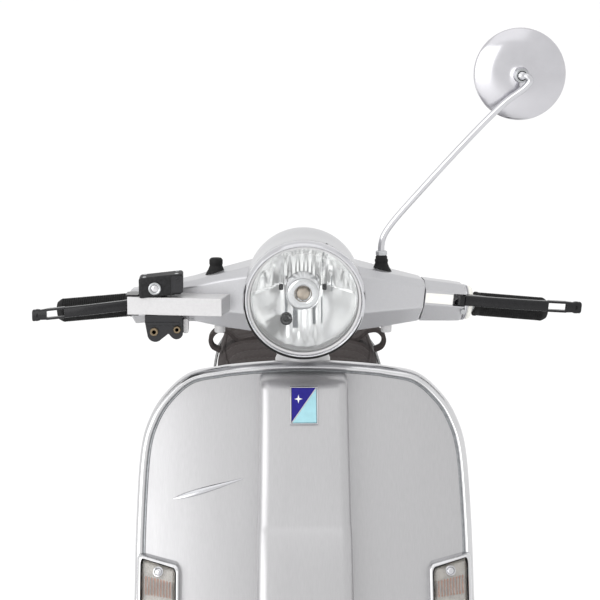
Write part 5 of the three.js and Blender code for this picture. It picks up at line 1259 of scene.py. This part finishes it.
def inflate(obj, cap, frames=20):
    """Cushion filled by cloth pressure; no point moves further than cap millimetres."""
    start = np.array([v.co[:] for v in obj.data.vertices])
    cloth = obj.modifiers.new("cloth", "CLOTH")
    cloth.settings.use_pressure = True
    cloth.settings.uniform_pressure_force = 4.0
    cloth.settings.quality = 5
    cloth.settings.tension_stiffness = cloth.settings.compression_stiffness = 15
    cloth.settings.effector_weights.gravity = 0
    cloth.point_cache.frame_start, cloth.point_cache.frame_end = 1, frames
    for f in range(1, frames + 1):
        bpy.context.scene.frame_set(f)
    shaped = obj.evaluated_get(bpy.context.evaluated_depsgraph_get())
    end = np.array([v.co[:] for v in shaped.data.vertices])
    obj.modifiers.remove(cloth)
    bpy.context.scene.frame_set(1)
    step = end - start
    far = np.linalg.norm(step, axis=1)
    step *= np.minimum(1, cap * MM / np.maximum(far, 1e-9))[:, None]
    moved_to = start + step
    moved_to[:, 2] = np.maximum(moved_to[:, 2], SEAT_BASE * MM)
    for v, co in zip(obj.data.vertices, moved_to):
        v.co = co


bake(cushion)
inflate(cushion, 5)
CHANNELS = (188, 252, 316, 392, 456, 520, 584)
for v in cushion.data.vertices:
    x, y, z = (c / MM for c in v.co)
    if z > SEAT_BASE + 12:
        edge = min(1.0, max(0.0, (seat_line(y, 1) - 14 - abs(x)) / 12))
        dip = sum(math.exp(-((y - c) / 5.0) ** 2) for c in CHANNELS)
        welt = math.exp(-((z - SEAT_BASE - 33) / 3.2) ** 2) * (1 - edge)
        v.co.z -= MM * (4.2 * dip * edge - 1.4 * edge)
        v.co.x -= MM * 1.6 * welt * math.copysign(1, x)
for f in cushion.data.polygons:
    f.use_smooth = True
cushion.modifiers.new("smooth", "SMOOTH").iterations = 2
m = cushion.modifiers.new("subdivide", "SUBSURF")
m.levels = m.render_levels = 1
bake(cushion)
for f in cushion.data.polygons:
    f.use_smooth = True
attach(cushion, "seat")
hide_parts("seat_cushion")

surface = bmesh.new()
surface.from_mesh(cushion.data)
seat_tree = BVHTree.FromBMesh(surface)
surface.free()


def on_seat(x, y, z, out):
    """Nearest point on the cushion, lifted off it by out millimetres."""
    spot, normal, _, _ = seat_tree.find_nearest(Vector((x, y, z)) * MM)
    return np.array(spot) / MM + np.array(normal) * out


def seat_top(x, y, out):
    hit = seat_tree.ray_cast(Vector((x, y, 900)) * MM, Vector((0, 0, -1)))
    return np.array(hit[0]) / MM + Z * out if hit[0] else P(x, y, 800)


side_line = [(seat_line(y, 1) - 9, y, SEAT_TOP + seat_line(y, 2) - 8) for y in np.linspace(112, 676, 60)]
loop = side_line + [(60, 692, 799), (0, 697, 799), (-60, 692, 799)] + [(-x, y, z) for x, y,
    z in reversed(side_line)] + [(-60, 100, 792), (0, 97, 792), (60, 100, 792)]
loop = curve_points(loop + [loop[0]], 260)[:-1]
piping = [on_seat(*p, 0.5) for p in loop]
make("seat_piping", sweep(piping + [piping[0]], 2.3, 10), VINYL, "seat")
stitches = []
for c in CHANNELS:
    reach = seat_line(c, 1) - 22
    for x in np.arange(-reach, reach, 6.4):
        a, b = seat_top(x, c, 0.2), seat_top(x + 4.2, c, 0.2)
        stitches.append(sweep([a - Z * 0.4, (a * 3 + b) / 4 + Z * 0.2, (a + b * 3) / 4 + Z * 0.2, b - Z * 0.4], 0.5,
            6, up=Z))
make("seat_stitches", stitches, THREAD, "seat")
skirt = [(seat_line(y, 1) - 3.4, y, SEAT_BASE + 2.5) for y in np.linspace(104, 684, 70)]
ring = skirt + [(50, 698, SEAT_BASE + 2.5), (-50, 698, SEAT_BASE + 2.5)] + [(-x, y, z) for x, y,
    z in reversed(skirt)] + [(-50, 91, SEAT_BASE + 2.5), (50, 91, SEAT_BASE + 2.5)]
trim = curve_points(ring + [ring[0]], 300)[:-1]
make("seat_edge_band", sweep(list(trim) + [trim[0]], 1,
    section=[(-1.6, -4.5), (1.6, -4.5), (1.9, 0), (1.6, 4.5), (-1.6, 4.5)]), GLOSS_BLACK, "seat", angle=50)
dress("seat_pan", BLACK, bevel=1.0)
crown = [seat_top(x, STRAP_Y, 3.2) for x in (0, 35, 70, 100)]
strap_half = [tuple(p) for p in crown] + [(x, STRAP_Y, z) for x,
    z in ((118, 823), (134, 824.5), (144, 816), (146.5, 804), (142, 795), (130, 789))]
strap_path = curve_points([(-x, y, z) for x, y, z in reversed(strap_half[1:])] + strap_half, 150)
band = [(3.4, -14), (4.2, -12), (4.2, 12), (3.4, 14), (-1.9, 14), (-2.6, 12), (-2.6, -12), (-1.9, -14)]
make("seat_strap", sweep(strap_path, 1, section=band, up=Y), VINYL, "seat", angle=60)
make("seat_strap_seams", [sweep([p + Y * s * 10.5 + unit(p - P(0, STRAP_Y, 740)) * 2.9 for p in strap_path[6:-6]],
    0.45, 6) for s in (-1, 1)], THREAD, "seat")
make("seat_strap_rivets", [dome(P(s * 138, STRAP_Y, 792), X * s, 5, 2.2, 24) for s in (-1, 1)], CHROME, "seat")


# ---------------------------------------------------------------- wheels
WHEEL_Z, FRONT_Y, REAR_Y = 216, -655, 605


def lugs(t, k):
    """Cuts across the tread: shoulder grooves on both sides, offset by half a lug."""
    turn = t / (2 * math.pi) * 52
    if k in SHOULDER_A:
        return -4.2 if (turn % 1) < 0.22 else 0.0
    if k in SHOULDER_B:
        return -4.2 if ((turn + 0.5) % 1) < 0.22 else 0.0
    return 0.0


half_tyre = [(127.6, -34), (131, -35.6), (137, -34.6), (141, -36.8), (150, -40.6), (158, -43.2), (162, -44.6),
    (163.4, -45.4), (165, -44.8), (176, -45), (188, -43), (196, -39.8), (199.5, -38.6)]
tread = [(204.5, -34.5), (208.6, -29.5), (211.8, -23.6), (207.6, -22.6), (207.8, -19.6), (213.4, -18.6),
    (214.6, -12.5), (215.3, -6.4), (210.8, -5.6), (210.8, -2.6), (215.8, -1.8)]
right_half = [(r, -x) for r, x in reversed(half_tyre + tread)]
TYRE_PROFILE = half_tyre + tread + right_half + [(127.6, 26), (142, 27), (168, 37), (186, 34), (203, 18), (206, 0),
    (203, -18), (186, -34), (168, -37), (142, -27), (127.6, -26)]
n0 = len(half_tyre)
SHOULDER_A = {n0, n0 + 1, n0 + 2}
SHOULDER_B = {n0 + 5, n0 + 6, n0 + 7, n0 + 2 * len(tread) - 6, n0 + 2 * len(tread) - 7, n0 + 2 * len(tread) - 8}
SHOULDER_A |= {n0 + 2 * len(tread) - 1, n0 + 2 * len(tread) - 2, n0 + 2 * len(tread) - 3}

for word, y, body, bore, drum in (("front", FRONT_Y, "front_wheel", 8.6, 28),
        ("rear", REAR_Y, "rear_wheel", 10.6, 60)):
    centre = P(0, y, WHEEL_Z)
    make(word + "_tyre_body", lathe(TYRE_PROFILE, centre, X, 468, wave=lugs), TYRE, body, replaces=[word + "_tyre"],
        angle=42)
    ribs = [lathe([(r, s * (x - 0.6)), (r + 0.7, s * x), (r + 1.4, s * (x - 0.6))], centre, X, 160) for r,
        x in ((169, 45.3), (172, 45.3), (148, 40.6)) for s in (-1, 1)]
    make(word + "_tyre_ribs", ribs, TYRE, body)
    rim_profile = [(137, -40), (138.2, -39), (138, -37.8), (136, -37.2), (130, -35.6), (127, -34), (126.6, -12),
        (124.4, -8), (124.4, 8), (126.6, 12), (127, 34), (130, 35.6), (136, 37.2), (138, 37.8), (138.2, 39),
        (137, 40), (134.6, 40), (132.4, 38.4), (125.6, 36.6), (123.5, 34), (121.4, 26), (118, 20.6), (112, 18.2),
        (96, 17.4), (84, 18.5), (70, 22.5), (58, 23.5), (46, 22.5), (46, 19.6), (58, 20.6), (69, 19.6), (83, 15.6),
        (96, 14.4), (112, 15.2), (118, 16), (123.5, 10), (123.5, -34), (125.6, -36.6), (132.4, -38.4), (134.6, -40)]
    rim = make(word + "_rim_disc", lathe(rim_profile, centre, X, 128), WHEEL_PAINT, body, replaces=[word + "_rim"],
        angle=40)
    slots = []
    for a in turning(10, 0.5):
        t, r_dir = P(0, -math.sin(a), math.cos(a)), P(0, math.cos(a), math.sin(a))
        c = centre + r_dir * 97
        slots.append(loft([[c + P(x, 0, 0) + t * u + r_dir * v for u, v in round_rect(-13, 13, -6, 6, 5.9, 5)]
            for x in (8, 30)]))
    carve(rim, *slots)
    nuts, studs = [], []
    for a in turning(5):
        c = centre + P(23.2, math.cos(a) * 57, math.sin(a) * 57)
        nuts.append(nut(c, X, 7.6, 5.4, 6.6, 6.6))
        studs.append(rod(c, c + X * 9.6, 4))
    make(word + "_wheel_nuts", nuts + studs, STEEL, body, bevel=0.4)
    a = rad(54)
    v0 = centre + P(16, 116 * math.cos(a), 116 * math.sin(a))
    make(word + "_valve", [rod(v0, v0 + P(24, -4, -6), 3.2), rod(v0 + P(22, -3.8, -5.6), v0 + P(30, -5, -7.4), 4.2)],
        RUBBER, body, bevel=0.5)
    hub_profile = [(bore, -50), (24.8, -50), (26, -48.8), (26, -44.5), (60, -44.5), (60, -40.5), (drum, -40.5)]
    if word == "rear":
        hub_profile = [(bore, -50), (24.8, -50), (26, -48.8), (26, -44.5), (92, -44.5), (95, -42), (95, -36),
            (91, -35)]
        for i in range(4):
            x = -33 + i * 7
            hub_profile += [(90, x - 1), (94, x), (94, x + 2.6), (90, x + 3.6)]
        hub_profile += [(88, -5), (80, 2), (62, 8)]
    else:
        hub_profile += [(drum, -34), (30, -28), (30, 0), (36, 5), (58, 8)]
    hub_profile += [(62, 9), (62, 14), (60.5, 15), (44, 15.4), (44, 21), (42, 22), (bore, 22)]
    make(word + "_hub_body", lathe(hub_profile, centre, X, 96), ALLOY, body, replaces=[word + "_hub"], angle=40)
    make(word + "_hub_cap", lathe([(24.5, 19), (31, 21), (30, 27), (24, 33), (24.5, 24)], centre, X, 64), CHROME,
        body, angle=50)

disc = make("brake_disc", lathe([(52, -44.4), (94.4, -44.4), (95, -43.8), (95, -41.2), (94.4, -40.6), (52, -40.6)],
    P(0, FRONT_Y, WHEEL_Z), X, 128), DISC, "front_wheel", angle=40)
holes = []
for i in range(24):
    a, r = 2 * math.pi * i / 24, (70, 78, 86)[i % 3]
    c = P(-50, FRONT_Y + r * math.cos(a), WHEEL_Z + r * math.sin(a))
    holes.append(rod(c, c + X * 14, 3.0, segs=20))
carve(disc, *holes)
make("disc_bolts", [dome(P(-44.4, FRONT_Y + 56 * math.cos(a), WHEEL_Z + 56 * math.sin(a)), -X, 4.6, 2.6, 24)
    for a in np.arange(5) * 2 * math.pi / 5], STEEL, "front_wheel")

# ---------------------------------------------------------------- steering column and fork
fork = curve_points([tuple(axis_point(474)), tuple(axis_point(456)), (-2, axis_point(444)[1] + 1, 444)] + FORK_BEND,
    90)
make("column_tube", [rod(axis_point(958), axis_point(446), 15, segs=64), sweep(fork, 13.2, 28),
    rod(P(-82, *FORK_FOOT), P(-54, *FORK_FOOT), 15, segs=48), rod(P(-68, *FRONT_TOP), P(-91, *FRONT_TOP), 8),
    rod(P(-66, -540, 380), P(-72, *FRONT_TOP), 9)], STEEL, "steering", replaces=["steering_column"], angle=50)
make("fork_clamps", [lathe([(13, -5), (18.5, -5), (19, -4), (19, 4), (18.5, 5), (13, 5)], P(-68, -640, 294),
    P(0, -0.83, -0.56), 40), lathe([(15, -3), (23, -3), (24, -2), (24, 4), (22, 6), (15, 6)], axis_point(502),
    axis_point(600) - axis_point(500), 48)], STEEL, "steering", angle=40)
make("fork_gaiter", lathe([(13.4, 0)] + [(r, s + k) for s in range(0, 36, 6) for r,
    k in ((16.5, 1), (19, 3), (16.5, 5))] + [(13.4, 37)], P(-66.5, -548, 365), P(-0.02, -0.78, -0.62), 48), RUBBER,
    "steering", angle=70)

# ---------------------------------------------------------------- link and caliper
dress("front_link", ALLOY, bevel=1.6, segs=3, angle=28)
make("link_bolts", [nut(P(-90, *FORK_FOOT), -X, 12, 7, 10.5, 8.6), dome(P(-91, FRONT_Y, WHEEL_Z), -X, 13, 4.4, 40),
    nut(P(-122.6, *FRONT_EYE), -X, 8, 4, 7, 5)], STEEL, "link", bevel=0.5)
dress("brake_caliper", ANODISED, bevel=2.4, segs=3, angle=28)
caliper_bits = [lathe([(0, 0), (13, 0), (13.6, 0.8), (13.6, 4), (12, 6), (0, 6.4)], P(-55, -571, z), -X, 48,
    closed=False) for z in (196, 216)]
caliper_bits += [dome(P(-55.6, y, z), -X, 4.6, 3, 24) for y,
    z in ((-588, 182), (-552, 182), (-588, 226), (-552, 226))]
make("caliper_bolts", caliper_bits, STEEL, "link", angle=40)
make("link_web_bolts", [dome(P(-63, -560, z), -X, 5, 3, 24) for z in (190, 208)], STEEL, "link")

# ---------------------------------------------------------------- dampers and springs


def damper(word, x, top, foot, length, stroke):
    """Upper and lower half between two eyes, and a coil that rides with the upper half."""
    upper_body, lower_body = word + "_damper_top", word + "_damper_rod"
    a, b = P(x, *top), P(x, *foot)
    along, span = unit(b - a), float(np.linalg.norm(b - a))
    make(word + "_damper_head", [lathe([(6.4, -12), (10.4, -12), (11.2, -11), (11.2, 11), (10.4, 12), (6.4, 12)], a,
        X, 40), lathe([(0, 6), (15, 6), (16.4, 7), (19.4, 15), (26.4, 16), (27, 17), (27, 20), (26, 21), (18, 21.6),
        (18, length * 0.5 - 1), (17.2, length * 0.5), (8.8, length * 0.5), (8.8, 30), (0, 30)], a, along, 56,
        closed=False)], ANODISED, upper_body, replaces=[word + "_shock_upper"], angle=40)
    make(word + "_damper_bush", lathe([(5.8, -12.6), (8.4, -12.6), (8.4, 12.6), (5.8, 12.6)], a, X, 32), STEEL,
        upper_body)
    k = span * 0.5 - stroke - 4
    make(word + "_damper_foot", [lathe([(9.2, -12), (11.2, -12), (12, -11), (12, 11), (11.2, 12), (9.2, 12)], b, X,
        40), lathe([(0, 9), (13, 9), (15, 10), (17, 13), (25.4, 14), (26, 15), (26, 18), (25, 19), (17, 19.6),
        (17, k - 1), (16, k), (7.6, k), (7.6, span - stroke - 30), (0, span - stroke - 30)], b, -along, 56,
        closed=False)], STEEL, lower_body, replaces=[word + "_shock_lower"], angle=40)
    coil = make(word + "_spring", helix(a + along * 23.5, b - along * 21.5, 21.6, 7.5 if word == "front" else 8.5,
        2.9, per=28), SPRING, upper_body, angle=60)
    tuple(along)
    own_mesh(coil)


damper("front", -110, FRONT_TOP, FRONT_EYE, 206, 30)
damper("rear", -88, REAR_TOP, REAR_EYE, 220, 60)

# ---------------------------------------------------------------- front mudguard
GUARD_R, GUARD_Z = 255, 222


def guard_ring(turn, inset):
    a = rad(turn)
    back = max(0.0, math.cos(a))
    half = 80 + (50 - 80) * back ** 0.7 - inset
    skirt = 70 * math.sin(max(0.0, a)) ** 0.8 + 8
    arch = curve_points([(-1, 1, 1), (-1, 1, 0.5), (-1, 1, 0), (-0.92, 0.62, 0), (-0.6, 0.2, 0), (0, 0, 0),
        (0.6, 0.2, 0), (0.92, 0.62, 0), (1, 1, 0), (1, 1, 0.5), (1, 1, 1)], 40, 0.5)
    out = []
    for x, down, low in arch:
        r = GUARD_R - inset - 48 * down - low * skirt
        out.append(P(x * half, FRONT_Y + r * math.cos(a), GUARD_Z + r * math.sin(a)))
    return out


turns = np.linspace(5, 158, 70)
guard = make("mudguard_shell", skin([guard_ring(t, 0) for t in turns], [guard_ring(t, 2.2) for t in turns]), PAINT,
    "steering", replaces=["front_mudguard"], bevel=0.6, angle=60)
way = curve_points([tuple(axis_point(520)), tuple(axis_point(474))] + FORK_BEND, 50)
carve(guard, block((-140, -50), (-790, -515), (150, 418)))
carve(guard, rod(axis_point(400), axis_point(520), 17.5, segs=40))
carve(guard, sweep(way, 17.5, 20))
make("mudguard_tab", prism("x", [(-527, 431), (-518, 448), (-504, 448), (-498, 416)], 16.4, 20.4), PAINT, "steering",
    bevel=0.8)
crest = [(np.array(guard_ring(t, 0)[20]) + np.array([0, math.cos(rad(t)), math.sin(rad(t))]) * 1.5)
    for t in np.linspace(62, 154, 50)]
make("mudguard_crest", sweep(crest, [0.6 + 3.6 * math.sin(math.pi * t) ** 0.4 for t in np.linspace(0.03, 0.97, 50)],
    14), TRIM, "steering")
left_edge = [guard_ring(t, 1.1)[40] for t in turns]
make("mudguard_bead", sweep(left_edge, 2.0, 10), PAINT, "steering")

# ---------------------------------------------------------------- engine
dress("engine_case", ALLOY, bevel=5.0, segs=4, angle=28)
outline = [(424, 200), (424, 304), (522, 320), (598, 312), (664, 286), (686, 230), (666, 178), (598, 162), (448, 166)]
smooth = curve_points([(y, z, 0) for y, z in outline + [outline[0]]], 90)[:-1]
cover = [[P(x, 556 + (p[0] - 556) * k, 240 + (p[1] - 240) * k) for p in smooth] for x,
    k in ((-149, 0.98), (-153, 0.98), (-156, 0.95), (-157, 0.9))]
make("clutch_cover", loft(cover), ALLOY, "engine", angle=50)
bolts = [dome(P(-156, 556 + (smooth[i][0] - 556) * 0.93, 240 + (smooth[i][1] - 240) * 0.93), -X, 5, 3.4, 24)
    for i in range(4, 90, 9)]
make("engine_bolts", bolts, STEEL, "engine")
make("crankcase_ribs", [sweep([P(x, 420 + (t * 250), 158 + 14 * math.sin(t * 3.1) ** 2 - 8)
    for t in np.linspace(0.05, 0.95, 20)], 3, 10) for x in range(-138, -60, 14)], ALLOY, "engine")
make("gear_box_cover", [lathe([(0, 0), (46, 0), (48, -2), (48, -7), (44, -10), (20, -11), (0, -11)],
    P(-156.6, 600, 232), X, 80, closed=False), lathe([(0, 0), (9, 0), (9, -5), (0, -5)], P(-166, 600, 232), X, 6,
    closed=False)], ALLOY, "engine", angle=40)
make("swing_pivot_nuts", [nut(P(s * 124, *SWING_PIVOT), X * s, 15, 8, 13.4, 9.6) for s in (-1, 1)], STEEL, "engine",
    bevel=0.6)
make("rear_axle_nut", lathe([(0, 0), (18, 0), (18, 1.6), (0, 1.6)], P(22.2, REAR_Y, WHEEL_Z), X, 48, closed=False),
    STEEL, "engine")
make("carburettor", [rod(P(-85, 396, 330), P(-85, 396, 352), 23, segs=48),
    block((-107, -63), (374, 422), (320, 334))], ALLOY, "engine", bevel=2.0)


def cowl_ring(x, grow):
    return [P(x, y, z) for y, z in round_rect(384 - grow, 556 + grow, 226 - grow, 392 + grow, 26 + grow * 0.6, 9)]


fan = make("cylinder_cowl_body", loft([cowl_ring(x, g) for x,
    g in ((-150.4, -6), (-153, -3), (-160, 0), (-196, 0), (-206, -1.5), (-213, -5), (-217, -10), (-218, -17))]),
    BLACK, "engine", replaces=["cylinder_cowl"], angle=50)
carve(fan, rod(P(-250, *KICK_AXLE), P(-140, *KICK_AXLE), 14, segs=48))
grille = [lathe([(r, -219.6), (r + 2.6, -219.6), (r + 2.6, -216.4), (r, -216.4)], P(0, *FAN_CENTRE), X, 80)
    for r in (16, 26, 36, 46, 56)]
grille += [loft([[P(x, 470, 312) + P(0, math.cos(a), math.sin(a)) * r + P(0, -math.sin(a), math.cos(a)) * w for r,
    w in ((14, -1.5), (58, -1.5), (58, 1.5), (14, 1.5))] for x in (-219.2, -216.2)])
    for a in np.arange(8) * math.pi / 4]
make("fan_grille", grille, BLACK, "engine", bevel=0.4)
make("cowl_screws", [dome(P(-216.6, y, z), -X, 5, 3, 24) for y,
    z in ((404, 370), (536, 370), (404, 252), (536, 252))], STEEL, "engine")
plug = curve_points([(-190, 392, 360), (-192, 372, 372), (-170, 360, 380), (-130, 372, 372), (-104, 392, 350)], 40)
make("plug_lead", [sweep(plug, 3.4, 14), rod(P(-190, 396, 358), P(-190, 380, 364), 8)], RUBBER, "engine")

# ---------------------------------------------------------------- exhaust, kick lever and stand


def can_ring(y, grow):
    return [P(x, y, z) for x, z in round_rect(-165 - grow, -66 + grow, 92 - grow, 142 + grow, 16 + grow * 0.6, 8)]


can = [(384, -14), (385.5, -8), (389, -3), (395, 0), (424, 0), (425, 1.6), (431, 1.6), (432, 0), (520, 0), (521, 1.6),
    (527, 1.6), (528, 0), (555, 0), (561, -3), (564.5, -8), (566, -14)]
make("exhaust_can", [loft([can_ring(y, g) for y, g in can])], EXHAUST, "engine", replaces=["exhaust"], angle=50)
tail = curve_points([(-112, 560, 112), (-114, 620, 108), (-116, 700, 104), (-116, 742, 104)], 40)
make("exhaust_pipe", [sweep(tail, 11.4, 28), sweep([P(-116, 733, 104), P(-116, 743.5, 104)], 12.6, 28)], CHROME,
    "engine")
down = curve_points([(-112, 420, 226), (-108, 402, 200), (-108, 392, 168), (-112, 396, 138), (-114, 404, 124)], 40)
make("exhaust_header", sweep(down, 13, 24), EXHAUST, "engine")
make("exhaust_bracket", [prism("x", [(470, 138), (500, 138), (508, 172), (462, 172)], -122, -117),
    dome(P(-122, 485, 160), -X, 6, 3, 24)], STEEL, "engine", bevel=0.8)
dress("kick_lever", ALLOY, bevel=2.2, segs=3, angle=28)
make("kick_rubber", lathe([(9.2, 0)] + [(r, s + k) for s in range(0, 36, 5) for r,
    k in ((12.4, 0.6), (12.4, 3.4), (11, 4.2))] + [(9.2, 37)], P(-246, 342, 225), -X, 48), RUBBER, "kick", angle=50)
make("kick_bolt", nut(P(-240, *KICK_AXLE), -X, 7, 4, 6, 5), STEEL, "kick", bevel=0.4)
y, z = 110, 236
legs = []
for s in (-1, 1):
    legs.append(sweep(curve_points([(s * 60, y, z), (s * 74, y, z - 4), (s * 96, y - 2, z - 60),
        (s * 128, y - 8, z - 150), (s * 150, y - 14, 14)], 40), 10, 28))
make("stand_tubes", legs + [rod(P(-84, y, z), P(84, y, z), 11, segs=40),
    rod(P(-99, y - 5, z - 80), P(99, y - 5, z - 80), 7, segs=32)], STEEL, "stand", replaces=["centre_stand"],
    angle=50)
shoes = [loft([[P(s * 152 + u, v, zz) for u, v in round_rect(-16 + i, 16 - i, y - 36 + i, y + 4 - i, 5, 5)] for zz,
    i in ((0, 1.2), (1.2, 0), (10.5, 0), (12, 1.4), (16, 5), (20, 6.5))]) for s in (-1, 1)]
make("stand_shoes", shoes, RUBBER, "stand", angle=50)
make("stand_clamps", [prism("x", [(y - 18, z - 16), (y + 18, z - 16), (y + 18, z + 6), (y + 12, z + 14),
    (y - 12, z + 14), (y - 18, z + 6)], s * 86, s * 96) for s in (-1, 1)], STEEL, "frame", bevel=1.6)
make("stand_springs", [helix(P(s * 40, y + 6, z - 8), P(s * 40, y + 88, z + 22), 5.6, 12, 1.3, per=16)
    for s in (-1, 1)], SPRING, "frame", angle=60)


# ---------------------------------------------------------------- floor, light and camera
def plane(name, verts, mat):
    data = bpy.data.meshes.new(name)
    data.from_pydata(verts, [], [tuple(range(len(verts)))])
    data.materials.append(mat)
    obj = bpy.data.objects.new(name, data)
    bpy.context.scene.collection.objects.link(obj)
    return obj


FLOOR = material("studio_floor", (0.98, 0.98, 0.98), 0.0, 0.7, tone=0.004, scale=2, bump=0.0)
plane("studio_floor", [(-40, -40, 0), (40, -40, 0), (40, 40, 0), (-40, 40, 0)], FLOOR)


def area_light(name, at, target, size, power):
    data = bpy.data.lights.new(name, "AREA")
    data.shape, data.size, data.size_y, data.energy = "RECTANGLE", size[0], size[1], power
    obj = bpy.data.objects.new(name, data)
    obj.location = at
    obj.rotation_mode = "QUATERNION"
    obj.rotation_quaternion = (Vector(target) - Vector(at)).to_track_quat("-Z", "Y")
    bpy.context.scene.collection.objects.link(obj)
    return obj


area_light("key_left", (-3.6, -3.2, 2.2), (-0.2, -0.4, 0.85), (5.5, 4.2), 125)
area_light("top_soft", (-0.3, -1.4, 4.2), (0, -0.2, 0.8), (3.4, 3.4), 14)

WORLD_STRENGTH = 1.05
world = bpy.data.worlds.new("studio")
bpy.context.scene.world = world
world.use_nodes = True
tree = world.node_tree
tree.nodes["Background"].inputs["Strength"].default_value = WORLD_STRENGTH
tree.nodes["Background"].inputs["Color"].default_value = (1, 1, 1, 1)

CAMERA_AT, CAMERA_TARGET, LENS_MM = (-0.0466, -3.4829, 1.5503), (-0.0059, -0.430, 1.012), 138.8
camera = bpy.data.objects.new("camera", bpy.data.cameras.new("camera"))
bpy.context.scene.collection.objects.link(camera)
bpy.context.scene.camera = camera
camera.location = CAMERA_AT
camera.rotation_mode = "QUATERNION"
camera.rotation_quaternion = (Vector(CAMERA_TARGET) - camera.location).to_track_quat("-Z", "Y")
camera.data.lens = LENS_MM
camera.data.clip_start, camera.data.clip_end = 0.1, 200

bpy.context.scene.view_settings.view_transform = "Standard"
